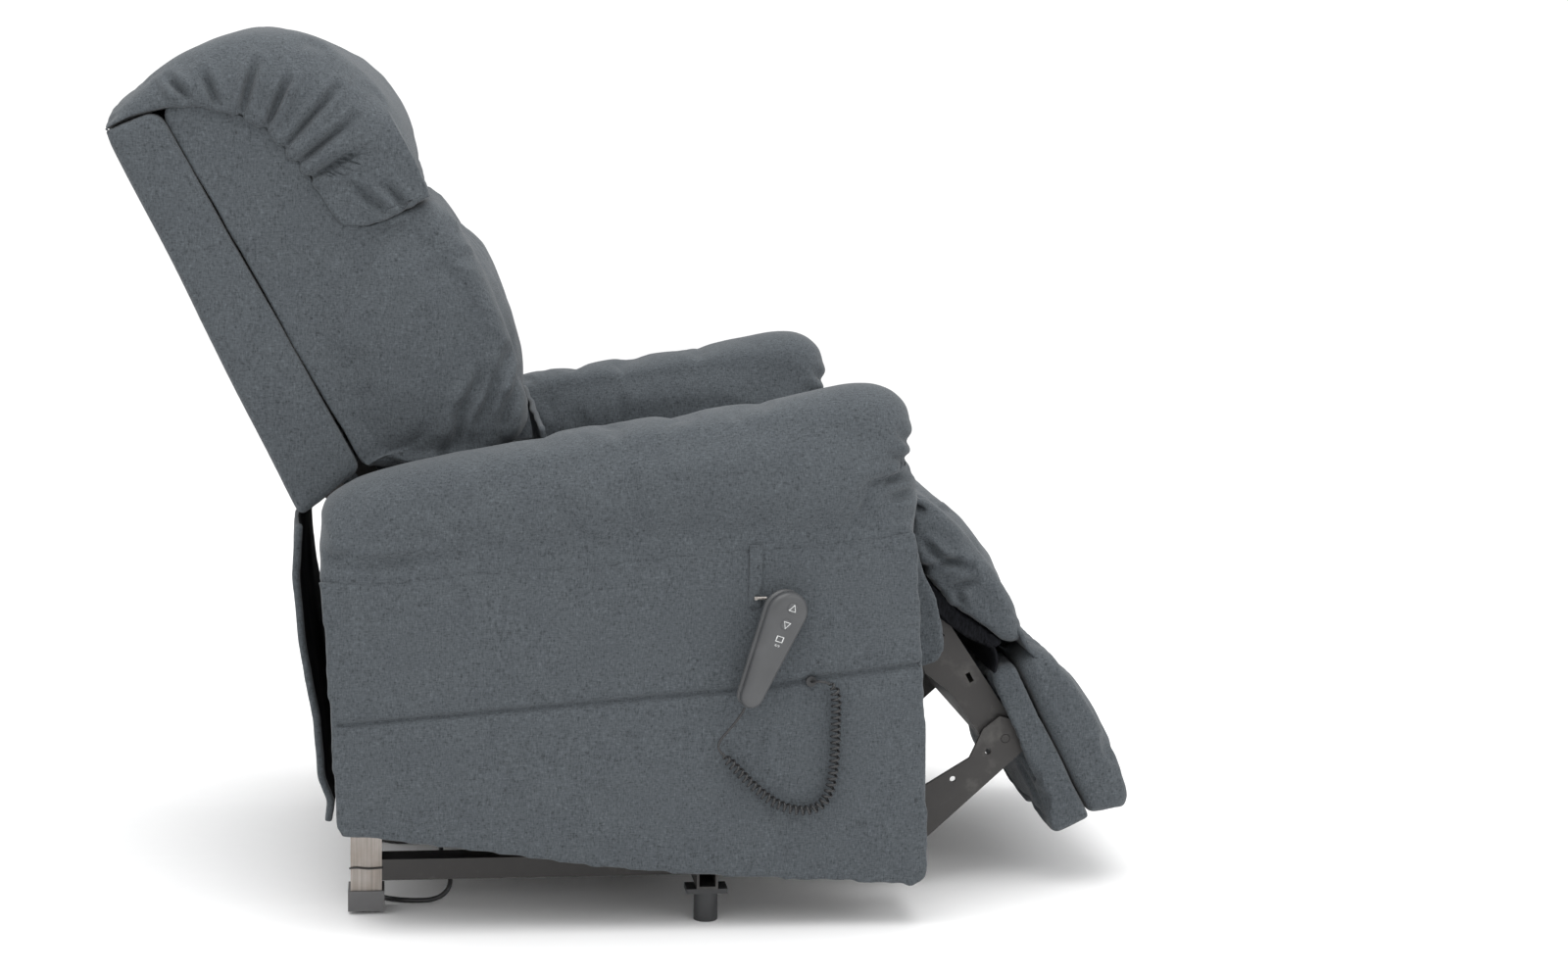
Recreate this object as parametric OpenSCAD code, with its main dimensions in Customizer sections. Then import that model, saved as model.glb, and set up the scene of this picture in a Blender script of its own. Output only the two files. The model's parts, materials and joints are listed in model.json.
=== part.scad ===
// Lift recliner chair: a tilting lift base, a sprung seat between two padded
// arms, a reclining back, a fold-out leg rest and a corded handset.
// The chair faces +X, its left side is +Y, and the floor is z = 0.

/* [Overall] */
// Clear width between the two arms
seat_gap = 524; // [440:2:640]
// Width of one arm, inner face to outer face
arm_w = 123; // [100:1:150]
// Length of the back frame along its slope
back_len = 470; // [390:1:570]
// Height of the rear posts of the base
post_h = 125; // [104:1:128]

/* [Back] */
// Lean of the back from vertical in the stored position
back_lean = 26.3; // [22:0.1:30]
// Thickness of the head pillow in front of the back frame
pillow_t = 220; // [180:1:250]
// Thickness of the lumbar cushion in front of the back frame
lumbar_t = 228; // [190:1:240]

/* [Seat and arms] */
// Thickness of the seat cushion
cushion_t = 103; // [84:1:108]
// Thickness of the padded outer side panels
side_t = 12; // [8:1:18]
// Thickness of the inner arm panels
lining_t = 10; // [6:1:12]
// Height of the seat box rails
rail_h = 58; // [40:1:70]

/* [Mechanism] */
// Thickness of the steel link plates
plate_t = 5; // [3:0.5:6]
// Gap between link plates that turn past each other
plate_gap = 2; // [1:0.5:2.5]
// Diameter of the pivot pins
pin_d = 12; // [9:0.5:14]
// Width of the lift links
link_w = 24; // [20:1:28]
// Side of the square base posts and rails
tube_w = 36; // [30:1:40]
// Wall of the base tubes
tube_wall = 3; // [2:0.5:5]
// Diameter of the lift torque tube
torque_d = 28; // [22:1:32]

/* [Actuator] */
// Diameter of the actuator rod
rod_d = 18; // [14:1:22]
// Diameter of the actuator tube
ram_d = 34; // [30:1:42]

/* [Handset] */
// Length of the handset
handset_l = 142; // [120:1:170]
// Thickness of the handset
handset_t = 24; // [20:1:28]
// Diameter of the handset buttons
button_d = 13; // [10:0.5:15]

/* [Cords] */
// Diameter of the mains lead
mains_d = 6; // [5:0.5:8]
// Outer diameter of the curly handset cord
curly_d = 12.4; // [10:0.2:14]
// Diameter of the wire in the handset cord
lead_d = 3; // [2.4:0.1:4]

/* [Hidden] */

steel = "#4a4744";
bare_steel = "#8b8580";
cloth = "#46525c";
lining = "#15161a";
plastic = "#3b3d3f";
timber = "#b08d5f";

// Half widths, measured from the chair's centre plane
arm_in = seat_gap / 2;
arm_out = arm_in + arm_w;
soft_gap = 12;
back_half = arm_in - soft_gap;
cushion_half = arm_in - 7;
pad_half = arm_in - 22;

// Link layers across each side, from the base rail inwards
post_in = arm_in - 10;
lug_t = plate_t + 1;
lug_in = post_in - lug_t;
link_in = lug_in - plate_gap - plate_t;
plate_in = link_in - plate_gap - plate_t;
inner_link_in = plate_in - plate_gap - plate_t;
stay_in = inner_link_in - plate_gap - plate_t;
bracket_in = stay_in - plate_gap - plate_t;
box_half = inner_link_in - 3;
run_gap = 0.05;
open_gap = 0.6;

// Pivots in the side view, as [x, z]
rear_base = [60, 135];
rear_top = [-220, 178];
front_base = [42, 95];
front_top = [-219, 109];
back_pivot = [-290, 400];
leg_pivot = [302, 468];
swing_top = [168, 364];
swing_foot = [318, 80];
stay_front = [452, 184];
foot_pivot = [450, 290];
ram_rear = [-286, 100];
ram_lean = 15.4;
ram_len = 317;
ram_pin_d = 8;
lever_tip = [20.6, 180.3];
lever_hole_d = 21;
front_top_slack = 2.4;

// Base frame
post_x = -319;
rail_z = 40;
tube_h = 25;
front_x = 74;
foot_h = 28;
front_foot_d = 28;
front_foot_y = 334;
cross_z = 70;

// Seat
box_rear = -250;
box_front = 276;
rail_t = 25;
rail_top = 388;
cushion_z = 392;
cushion_rear = -250;
cushion_front = 268;

// Back, in its own axes: out from the frame, and up its slope
back_low = 119;
back_top = back_low + back_len;
shell_d = 65;
panel_t = 6;
side_skin = 5;
crease_low = 22;
crease_top = 1;
crease_share = 0.52;
frame_half = link_in - 1;
bracket_up = 210;
bracket_out = -32;

// Handset
handset_at = [133, -arm_out - 24, 337];
handset_lean = 21.6;
handset_turn = 20;
handset_r = 25;
handset_tail_r = 14;
handset_wall = 2.5;
button_at = [54, 34];
button_gap = 0.35;

// Power supply and mains lead
supply = [70, 100, 40];
supply_at = [-292, -220, 84];
gland_at = [-232, -212, 62];
gland_l = 22;
coil_at = [-276, 45];
coil_r = 33;
coil_half = 12.5;
coil_h = 12.4;
mains_route = [
    [-232, -212, 62], [-231, -214, 53], [-228, -220, 43], [-224, -229, 34], [-221, -237, 26],
    [-223, -243, 16], [-231, -247, 8], [-243, -249, 4], [-256, -249, 3.2], [-272, -247, 3.2],
    [-288, -241, 3.2], [-302, -230, 3.2], [-312, -214, 3.2], [-317, -192, 3.2], [-318, -160, 3.2],
    [-318, -120, 3.2], [-318, -80, 3.2], [-318, -40, 3.2], [-318, 0, 3.2], [-318, 26, 3.2]
];
plug_route = [
    [-235, 37, 9.3], [-235, 31, 9.2], [-234, 25, 8.2], [-231, 19.5, 6.8], [-226, 15, 5.6],
    [-220, 11.6, 4.6], [-214, 9.8, 4.1], [-207, 9.8, 4.2], [-200, 12, 5.2], [-192, 16, 6.8],
    [-184, 20, 8.2], [-177, 23.6, 9]
];
plug_turn = 27;
// Handset cord, at the outer panel's face, as [x, distance out from the panel, z]
cord_stub_route = [[185, 3, 294], [188, 9, 295], [194, 12, 296], [201, 13, 295]];
cord_curl_route = [
    [201, 13, 295], [208, 13, 291], [212, 13, 280], [213, 12, 262], [213, 11, 240], [213, 11, 218],
    [212, 11, 196], [209, 11, 174], [202, 11, 156], [190, 11, 147], [174, 11, 145], [157, 11, 149],
    [141, 12, 157], [125, 12, 170], [109, 12, 185], [95, 13, 200], [81, 13, 215]
];
cord_lead_route = [
    [81, 13, 215], [78, 14, 221], [80, 16, 230], [88, 19, 241], [96, 22, 252], [103, 24, 263],
    [106, 24, 269.5]
];

// ---------- shared shapes ----------

// Flat piece cut to a side-view outline, from y0 to y0 + t
module slab(y0, t) {
    translate([0, y0 + t, 0])
        rotate([90, 0, 0])
            linear_extrude(height = t)
                children();
}

// A right-hand piece and its mirror image on the left
module pair() {
    mirror([0, 1, 0])
        children();
    children();
}

module right_side() {
    mirror([0, 1, 0])
        children();
}

module disc(at, d) {
    translate(at)
        circle(d = d, $fn = 48);
}

// Straight link outline with round ends
module link_outline(a, b, w) {
    along = (b - a) / norm(b - a);
    across = [-along[1], along[0]] * w / 2;
    polygon([a + across, a - across, b - across, b + across]);
    disc(a, w);
    disc(b, w);
}

// Pin along Y, on one side
module pin(at, d, y0, y1) {
    translate([at[0], y1, at[1]])
        rotate([90, 0, 0])
            cylinder(d = d, h = y1 - y0, $fn = 48);
}

// A point of the back's own axes, as [x, z] of the side view
function from_back(out, up) =
    [back_pivot[0] + out * cos(back_lean) - up * sin(back_lean),
     back_pivot[1] + out * sin(back_lean) + up * cos(back_lean)];

// Places a shape given in the back's own axes: x out from the frame, z along its slope
module on_back() {
    translate([back_pivot[0], 0, back_pivot[1]])
        rotate([0, -back_lean, 0])
            children();
}

// ---------- swept tube ----------

function unit(v) = v / norm(v);
function heading(p, i) = unit(p[min(i + 1, len(p) - 1)] - p[max(i - 1, 0)]);
function first_side(t) = unit(cross(t, abs(t[2]) < 0.9 ? [0, 0, 1] : [1, 0, 0]));
function sides(p, i = 0, s = undef) =
    i == len(p) ? [] :
    let(t = heading(p, i))
    let(n = s == undef ? first_side(t) : unit(s - (s * t) * t))
    concat([n], sides(p, i + 1, n));
function ring(c, t, s, r, n) =
    [for (k = [0:n - 1]) c + r * (cos(360 * k / n) * s + sin(360 * k / n) * cross(t, s))];
function tube_points(p, r, n) =
    let(s = sides(p))
    [for (i = [0:len(p) - 1]) each ring(p[i], heading(p, i), s[i], r, n)];
function tube_walls(m, n) =
    [for (i = [0:m - 2]) for (k = [0:n - 1]) for (half = [0, 1])
        let(a = i * n + k, b = i * n + (k + 1) % n)
        half == 0 ? [a, a + n, b] : [b, a + n, b + n]];
function tube_ends(m, n) =
    [[for (k = [0:n - 1]) k], [for (k = [0:n - 1]) m * n - 1 - k]];

module tube(route, d, n) {
    polyhedron(
        points = tube_points(route, d / 2, n),
        faces = concat(tube_walls(len(route), n), tube_ends(len(route), n)),
        convexity = 6
    );
}

// Cord points given from the outer panel's face, moved out to it
function off_panel(route) = [for (p = route) [p[0], -arm_out - p[1], p[2]]];

// ---------- base ----------

module base_rail() {
    difference() {
        translate([post_x + tube_w / 2, post_in, rail_z])
            cube([front_x - tube_h / 2 - post_x - tube_w / 2, tube_w, tube_h]);
        translate([post_x, post_in + tube_wall, rail_z + tube_wall])
            cube([front_x - post_x, tube_w - 2 * tube_wall, tube_h - 2 * tube_wall]);
    }
}

module base_rail_left() {
    color(steel)
        base_rail();
}

module base_rail_right() {
    color(steel)
        right_side()
            base_rail();
}

module rear_cross_tube() {
    color(steel)
        difference() {
            translate([post_x - 15, -post_in, cross_z])
                cube([30, 2 * post_in, 30]);
            translate([post_x - 15 + tube_wall, -arm_out, cross_z + tube_wall])
                cube([30 - 2 * tube_wall, 2 * arm_out, 30 - 2 * tube_wall]);
        }
}

module front_cross_tube() {
    half = front_foot_y + 16;
    color(steel)
        difference() {
            translate([front_x - tube_h / 2, -half, rail_z])
                cube([tube_h, 2 * half, tube_h]);
            translate([front_x - tube_h / 2 + tube_wall, -half - 1, rail_z + tube_wall])
                cube([tube_h - 2 * tube_wall, 2 * half + 2, tube_h - 2 * tube_wall]);
        }
}

module rear_posts() {
    color(bare_steel)
        pair()
            difference() {
                translate([post_x - tube_w / 2, post_in, foot_h])
                    cube([tube_w, tube_w, post_h - foot_h]);
                translate([post_x - tube_w / 2 + tube_wall, post_in + tube_wall, foot_h - 1])
                    cube([tube_w - 2 * tube_wall, tube_w - 2 * tube_wall, post_h]);
            }
}

module rear_foot_caps() {
    nub_h = 4;
    lip = 3;
    color("#5c5c5c")
        pair() {
            translate([post_x - tube_w / 2 - lip, post_in - lip, nub_h])
                cube([tube_w + 2 * lip, tube_w + 2 * lip, foot_h - nub_h]);
            translate([post_x, post_in + tube_w / 2, 0])
                cylinder(d = 20, h = nub_h, $fn = 48);
        }
}

module front_feet() {
    flange = [48, 30, 6];
    color(plastic)
        pair() {
            translate([front_x - flange[0] / 2, front_foot_y - flange[1] / 2, rail_z - flange[2]])
                cube(flange);
            translate([front_x, front_foot_y, 0])
                cylinder(d = front_foot_d, h = rail_z - flange[2], $fn = 64);
        }
}

// Upright plates on the rails that carry the lift links
module base_lugs() {
    color(steel)
        pair()
            slab(lug_in, lug_t)
                difference() {
                    union() {
                        disc(rear_base, 32);
                        disc(front_base, 28);
                        polygon([
                            [12, rail_z], [front_x - tube_h / 2 - 0.1, rail_z],
                            [front_x - tube_h / 2 - 0.1, rail_z + tube_h + 0.1],
                            [front_x + tube_h / 2, rail_z + tube_h + 0.1],
                            [76, rear_base[1]], [62, rear_base[1] + 15],
                            [46, rear_base[1] + 8], [30, front_base[1] + 8]
                        ]);
                    }
                    disc(rear_base, pin_d);
                    disc(front_base, pin_d);
                }
}

module base_pins() {
    color(bare_steel)
        pair() {
            pin(rear_base, pin_d, inner_link_in, lug_in + lug_t);
            pin(front_base, pin_d, link_in, lug_in + lug_t);
        }
}

// Clevis on the rear cross tube with the actuator's rear pin
module actuator_bracket() {
    ear_in = 17;
    color(steel) {
        pair()
            slab(ear_in, 5)
                difference() {
                    union() {
                        disc(ram_rear, 26);
                        polygon([
                            [post_x + 15, cross_z], [post_x + 15, cross_z + 30],
                            [ram_rear[0], ram_rear[1] + 13], [ram_rear[0], ram_rear[1] - 13]
                        ]);
                    }
                    disc(ram_rear, 10);
                }
        pin(ram_rear, 10, -ear_in - 5, ear_in + 5);
    }
}

module power_supply() {
    foot_t = 4;
    color(plastic) {
        translate(supply_at)
            cube(supply);
        translate([post_x + 15, supply_at[1] + 20, cross_z + 14])
            cube([supply_at[0] - post_x - 15, supply[1] - 40, foot_t]);
    }
}

module mains_gland() {
    color(plastic)
        translate(gland_at)
            cylinder(d1 = mains_d + 2, d2 = mains_d + 6, h = gland_l, $fn = 48);
}

module mains_cord() {
    color(lining) {
        tube(mains_route, mains_d, 8);
        tube(plug_route, mains_d, 8);
    }
}

module mains_coil() {
    color(lining)
        translate([coil_at[0], coil_at[1], 0.2])
            rotate_extrude($fn = 96)
                translate([coil_r - coil_half, 0])
                    square([2 * coil_half, coil_h]);
}

module mains_plug() {
    pin_gap = 19;
    color(lining)
        translate(plug_route[len(plug_route) - 1])
            rotate([0, 90, plug_turn]) {
                cylinder(d1 = mains_d + 4, d2 = 17, h = 16, $fn = 48);
                translate([0, 0, 16])
                    cylinder(d = 17, h = 16, $fn = 48);
                for (side = [-1, 1])
                    translate([0, side * pin_gap / 2 * 0.6, 32])
                        cylinder(d = 4, h = 18, $fn = 32);
            }
}

// ---------- lift linkage and actuator ----------

module rear_lift_links() {
    color(steel)
        pair()
            slab(inner_link_in, plate_t)
                difference() {
                    link_outline(rear_base, rear_top, link_w);
                    disc(rear_base, pin_d + 2 * run_gap);
                    disc(rear_top, pin_d + 2 * run_gap);
                }
}

// Tube across the rear lift links, with the two cheeks that the actuator pushes
module torque_tube() {
    cheek_in = 9;
    cheek_t = 6;
    color(steel) {
        difference() {
            pin(rear_base, torque_d, -inner_link_in, inner_link_in);
            pin(rear_base, torque_d - 2 * tube_wall, -arm_out, arm_out);
        }
        pair()
            slab(cheek_in, cheek_t)
                difference() {
                    link_outline(rear_base, lever_tip, 34);
                    disc(rear_base, torque_d);
                    disc(lever_tip, lever_hole_d);
                }
    }
}

module front_lift_links() {
    color(steel)
        pair()
            slab(link_in, plate_t)
                difference() {
                    link_outline(front_base, front_top, link_w);
                    disc(front_base, pin_d + 2 * run_gap);
                    disc(front_top, pin_d + 2 * front_top_slack);
                }
}

module actuator_motor() {
    color(plastic)
        translate([ram_rear[0], 0, ram_rear[1]])
            rotate([0, 90 - ram_lean, 0]) {
                difference() {
                    union() {
                        translate([-13, -16.5, -13])
                            cube([26, 33, 33]);
                        translate([-26, -24, 20])
                            cube([52, 48, 46]);
                    }
                    rotate([90, 0, 0])
                        cylinder(d = 10 + 2 * run_gap, h = 60, center = true, $fn = 48);
                }
                translate([44, 0, 30])
                    cylinder(d = 40, h = 95, $fn = 64);
                translate([20, -12, 30])
                    cube([24, 24, 36]);
            }
}

module actuator_tube() {
    mouth = ram_len - 62;
    color(bare_steel)
        translate([ram_rear[0], 0, ram_rear[1]])
            rotate([0, 90 - ram_lean, 0])
                difference() {
                    translate([0, 0, 66])
                        cylinder(d = ram_d, h = mouth - 66, $fn = 64);
                    translate([0, 0, 72])
                        cylinder(d = rod_d + 2 * run_gap, h = mouth, $fn = 64);
                }
}

module actuator_rod() {
    eye_half = 7;
    color("#b5b8ba") {
        translate([ram_rear[0], 0, ram_rear[1]])
            rotate([0, 90 - ram_lean, 0]) {
                translate([0, 0, 90])
                    cylinder(d = rod_d, h = ram_len - 100, $fn = 64);
                translate([0, 0, ram_len])
                    rotate([90, 0, 0])
                        cylinder(d = 24, h = 2 * eye_half, center = true, $fn = 48);
                translate([0, 0, ram_len])
                    rotate([90, 0, 0])
                        cylinder(d = ram_pin_d, h = 40, center = true, $fn = 48);
            }
    }
}

// ---------- chair frame ----------

// Steel side plate that carries every pivot on the chair
module side_plate() {
    horn_half = 16;
    color(steel)
        slab(plate_in, plate_t)
            difference() {
                union() {
                    disc(rear_top, 44);
                    disc(front_top, 40);
                    disc(back_pivot, 44);
                    disc(leg_pivot, 2 * horn_half);
                    polygon([
                        [-236, 106], [-196, 106], [-182, 150], [-138, 222], [100, 306], [262, 334],
                        [292, 366], [298, 430], [leg_pivot[0] + horn_half, 458],
                        [leg_pivot[0] + horn_half, leg_pivot[1]], [leg_pivot[0] - horn_half, leg_pivot[1]],
                        [274, 450], [272, rail_top], [-262, rail_top],
                        [-274, 414], [-308, 386], [-262, 296], [-242, 200]
                    ]);
                }
                disc(leg_pivot, pin_d);
                disc(swing_top, pin_d);
                disc(back_pivot, pin_d);
                disc(rear_top, pin_d);
                disc(front_top, pin_d);
            }
}

module side_plate_left() {
    side_plate();
}

module side_plate_right() {
    right_side()
        side_plate();
}

module frame_pins() {
    color(bare_steel)
        pair() {
            pin(rear_top, pin_d, inner_link_in, plate_in + plate_t);
            pin(front_top, pin_d, plate_in, link_in + plate_t);
            pin(back_pivot, pin_d, plate_in, link_in + plate_t);
            pin(leg_pivot, pin_d, bracket_in, plate_in + plate_t);
            pin(swing_top, pin_d, inner_link_in, plate_in + plate_t);
        }
}

module frame_cross_tube() {
    color(steel)
        difference() {
            pin([-192, 232], 24, -plate_in, plate_in);
            pin([-192, 232], 24 - 2 * tube_wall, -arm_out, arm_out);
        }
}

// Timber box of four rails under the seat
module seat_rails() {
    low = rail_top - rail_h;
    color(timber) {
        for (side = [-1, 1])
            translate([box_rear, side * (box_half - rail_t / 2) - rail_t / 2, low])
                cube([box_front - box_rear, rail_t, rail_h]);
        for (x = [box_rear, box_front - rail_t])
            translate([x, -box_half + rail_t, low])
                cube([rail_t, 2 * (box_half - rail_t), rail_h]);
    }
}

module seat_springs() {
    wire_d = 4;
    count = 7;
    pitch = 2 * (box_half - rail_t) / (count + 1);
    color(bare_steel)
        for (i = [1:count])
            translate([box_rear + rail_t, -box_half + rail_t + i * pitch, rail_top - 8])
                rotate([0, 90, 0])
                    cylinder(d = wire_d, h = box_front - box_rear - 2 * rail_t, $fn = 24);
}

module seat_cushion() {
    top = cushion_z + cushion_t;
    color(cloth)
        translate([0, cushion_half, 0])
            rotate([90, 0, 0])
                linear_extrude(height = 2 * cushion_half)
                    polygon([
                        [cushion_rear, cushion_z], [cushion_front - 6, cushion_z],
                        [cushion_front, cushion_z + 12], [cushion_front, top - 26],
                        [cushion_front - 14, top - 8], [cushion_front - 40, top],
                        [cushion_rear + 40, top], [cushion_rear, top - 24]
                    ]);
}

// Padded outer side of the arm, down to near the floor
module outer_panel() {
    color(cloth)
        slab(arm_out - side_t, side_t)
            polygon([
                [-370, 410], [-365, 361], [-351, 128], [-345, 119], [-332, 116], [-300, 115], [-268, 109],
                [-68, 80], [45, 68], [160, 60], [274, 53], [310, 49], [322, 52], [328, 62], [328, 80],
                [318, 287], [304, 467], [-27, 436], [-268, 415]
            ]);
}

module outer_panel_left() {
    outer_panel();
}

module outer_panel_right() {
    right_side()
        outer_panel();
}

module inner_panel() {
    color(cloth) {
        slab(arm_in, lining_t)
            polygon([
                [-340, 180], [292, 180], [292, 464], [-27, 436], [-268, 415], [-350, 408]
            ]);
        for (x = [-140, 130])
            translate([x, plate_in + plate_t, rail_top - rail_h])
                cube([40, arm_in - plate_in - plate_t, 40]);
    }
}

module inner_panel_left() {
    inner_panel();
}

module inner_panel_right() {
    right_side()
        inner_panel();
}

// Upright panels that close the front and the rear of each arm
module arm_front_panels() {
    color(cloth)
        pair()
            slab(arm_in + lining_t, arm_w - lining_t - side_t) {
                polygon([[312, 62], [326, 62], [302, 464], [290, 463]]);
                polygon([[-348, 132], [-336, 132], [-356, 404], [-367, 403]]);
            }
}

module arm_pad() {
    color(cloth)
        slab(arm_in, arm_w)
            polygon([
                [-370, 411], [-371, 440], [-366, 485], [-358, 499], [-344, 510], [-322, 523],
                [-278, 537], [-234, 549], [-102, 583], [-8, 604], [87, 620], [170, 633], [228, 641],
                [252, 641], [271, 635], [286, 623], [296, 606], [300, 586], [300, 566], [297, 545],
                [305, 530], [311, 512], [311, 492], [305, 468], [-27, 437], [-268, 416]
            ]);
}

module arm_pad_left() {
    arm_pad();
}

module arm_pad_right() {
    right_side()
        arm_pad();
}

module handset_strap() {
    color(cloth)
        translate([111, -arm_out - 2.5, 381])
            cube([15, 2.5, 72]);
}

// Wire hook on the strap that the handset hangs by
module handset_hook() {
    wire_d = 4;
    color(bare_steel) {
        translate([119, -arm_out - 2.5, 392])
            rotate([90, 0, 0])
                cylinder(d = wire_d, h = 6, $fn = 24);
        translate([117, -arm_out - 8.5 + wire_d / 2, 392])
            rotate([0, 90, 0])
                cylinder(d = wire_d, h = 14, $fn = 24);
    }
}

module cord_grommet() {
    color(plastic)
        translate([185, -arm_out, 294])
            rotate([90, 0, 0])
                cylinder(d = 12, h = 3, $fn = 48);
}

module handset_cord_leads() {
    color(lining) {
        tube(off_panel(cord_stub_route), lead_d, 8);
        tube(off_panel(cord_lead_route), lead_d, 8);
    }
}

module handset_cord_curl() {
    color(lining)
        tube(off_panel(cord_curl_route), curly_d, 10);
}

// ---------- back ----------

module back_panel() {
    color(cloth)
        on_back()
            translate([-shell_d, -back_half, back_low])
                cube([panel_t, 2 * back_half, back_len]);
}

// Thin padded sides and top of the back frame
module back_sides() {
    front = panel_t - shell_d;
    color(cloth)
        on_back() {
            pair()
                slab(back_half - side_skin, side_skin)
                    polygon([
                        [front, 100], [-12, 112], [crease_low, 121], [crease_top, back_top - 10],
                        [front, back_top]
                    ]);
            translate([front, -back_half + side_skin, back_top - 14])
                cube([crease_top - front - 1, 2 * (back_half - side_skin), 12]);
        }
}

// Timber ladder frame inside the back
module back_frame() {
    stile = [36, 30, back_len - 30];
    rail = [24, 2 * (frame_half - stile[1]), 40];
    color(timber)
        on_back() {
            for (side = [-1, 1])
                translate([-50, side * (frame_half - stile[1] / 2) - stile[1] / 2, back_low + 6])
                    cube(stile);
            for (z = [back_low + 20, back_low + back_len / 2 - 20, back_top - 74])
                translate([-46, -rail[1] / 2, z])
                    cube(rail);
        }
}

// Steel arms that join the back frame to its pivots
module back_brackets() {
    color(steel)
        pair()
            slab(link_in, plate_t)
                difference() {
                    union() {
                        disc(back_pivot, 36);
                        link_outline(back_pivot, from_back(bracket_out, bracket_up), 26);
                    }
                    disc(back_pivot, pin_d + 2 * run_gap);
                }
}

module lumbar_cushion() {
    t = lumbar_t + 25;
    mid = back_low + crease_share * back_len;
    color(cloth)
        on_back()
            translate([0, cushion_half - 10, 0])
                rotate([90, 0, 0])
                    linear_extrude(height = 2 * (cushion_half - 10))
                        polygon([
                            [26, 128], [40, 104], [90, 76], [150, 58], [t - 38, 50], [t - 18, 54],
                            [t - 10, 68], [t - 12, 90], [t - 14, 130], [t - 4, 176], [t, 220],
                            [t - 1, 280], [t - 9, 338], [t - 22, mid - 8], [t - 34, mid],
                            [12, mid]
                        ]);
}

module head_pillow() {
    t = pillow_t + 14;
    low = back_low + crease_share * back_len + 3;
    color(cloth)
        on_back()
            translate([0, cushion_half - 12, 0])
                rotate([90, 0, 0])
                    linear_extrude(height = 2 * (cushion_half - 12))
                        polygon([
                            [13, low], [t - 20, low], [t - 6, low + 16], [t - 1, low + 54],
                            [t, low + 104], [t - 6, low + 140], [t - 20, low + 186],
                            [t - 48, low + 230], [t - 80, low + 256], [t - 116, low + 266],
                            [66, low + 267], [18, low + 262], [-26, low + 250],
                            [-52, back_top + 14], [-62, back_top + 5], [-64, back_top + 1],
                            [crease_top + 2, back_top + 1], [crease_top + 6, back_top - 12]
                        ]);
}

// Loose cloth panel that hangs from the bottom of the back
module rear_flap() {
    outline = [
        [-402, 454], [-404, 395], [-398, 327], [-390, 275], [-381, 222], [-374, 152], [-364, 124],
        [-368, 99]
    ];
    flap_t = 9;
    color(lining)
        translate([0, back_half - 2, 0])
            rotate([90, 0, 0])
                linear_extrude(height = 2 * (back_half - 2))
                    polygon(concat(
                        outline,
                        [for (i = [len(outline) - 1:-1:0]) outline[i] + [flap_t, 0]]
                    ));
}

// ---------- leg rest ----------

// Plates that carry the calf pad on the leg pivots
module calf_brackets() {
    color(steel)
        pair()
            slab(bracket_in, plate_t)
                difference() {
                    union() {
                        disc(leg_pivot, 28);
                        polygon([
                            [291, 466], [313, 466], [316, 410], [348, 354], [374, 334], [466, 198],
                            [468, 170], [438, 164], [384, 240], [352, 264], [330, 330], [298, 400]
                        ]);
                    }
                    disc(leg_pivot, pin_d + 2 * run_gap);
                    polygon([[363, 319], [368, 322], [374, 311], [369, 308]]);
                    polygon([[401, 263], [406, 266], [412, 255], [407, 252]]);
                }
    color(bare_steel)
        pair()
            pin(stay_front, 10, bracket_in, stay_in + plate_t);
}

// Board under the calf pad, with the upper leaves of the foot hinge
module calf_board() {
    color(timber)
        translate([0, bracket_in - 0.5, 0])
            rotate([90, 0, 0])
                linear_extrude(height = 2 * (bracket_in - 0.5))
                    polygon([
                        [319, 436], [328, 414], [350, 378], [380, 346], [412, 324], [406, 315],
                        [373, 337], [342, 370], [319, 408], [311, 432]
                    ]);
    color(steel)
        pair()
            slab(150, plate_t)
                difference() {
                    union() {
                        disc(foot_pivot, 14);
                        link_outline([408, 316], foot_pivot, 10);
                    }
                    disc(foot_pivot, 6 + 2 * run_gap);
                }
}

module calf_pad() {
    color(cloth)
        translate([0, pad_half, 0])
            rotate([90, 0, 0])
                linear_extrude(height = 2 * pad_half)
                    polygon([
                        [324, 486], [345, 480], [362, 469], [386, 449], [409, 422], [430, 399],
                        [447, 374], [460, 352], [468, 330], [472, 310], [464, 301], [446, 303],
                        [414, 328], [382, 350], [353, 381], [332, 416], [323, 438]
                    ]);
}

// Folded steel channel between the two calf brackets
module footrest_channel() {
    wall = 2.5;
    color(steel)
        translate([0, bracket_in, 0])
            rotate([90, 0, 0])
                linear_extrude(height = 2 * bracket_in)
                    polygon([
                        [392, 244], [432, 172], [452, 176], [452 - wall, 176 + wall],
                        [432 + wall, 172 + 2 * wall], [392 + 2 * wall, 245], [420, 251],
                        [420 - wall, 251 + wall]
                    ]);
}

// Board of the foot pad, with the lower leaves and pins of the foot hinge
module foot_board() {
    color(timber)
        translate([0, pad_half - 2, 0])
            rotate([90, 0, 0])
                linear_extrude(height = 2 * (pad_half - 2))
                    polygon([[460, 280], [470, 285], [573, 90], [562, 85]]);
    color(steel)
        pair() {
            slab(150 + plate_t + 1, plate_t) {
                disc(foot_pivot, 14);
                link_outline(foot_pivot, [463, 281], 8);
            }
            pin(foot_pivot, 6, 148, 150 + 2 * plate_t + 1);
        }
}

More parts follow.
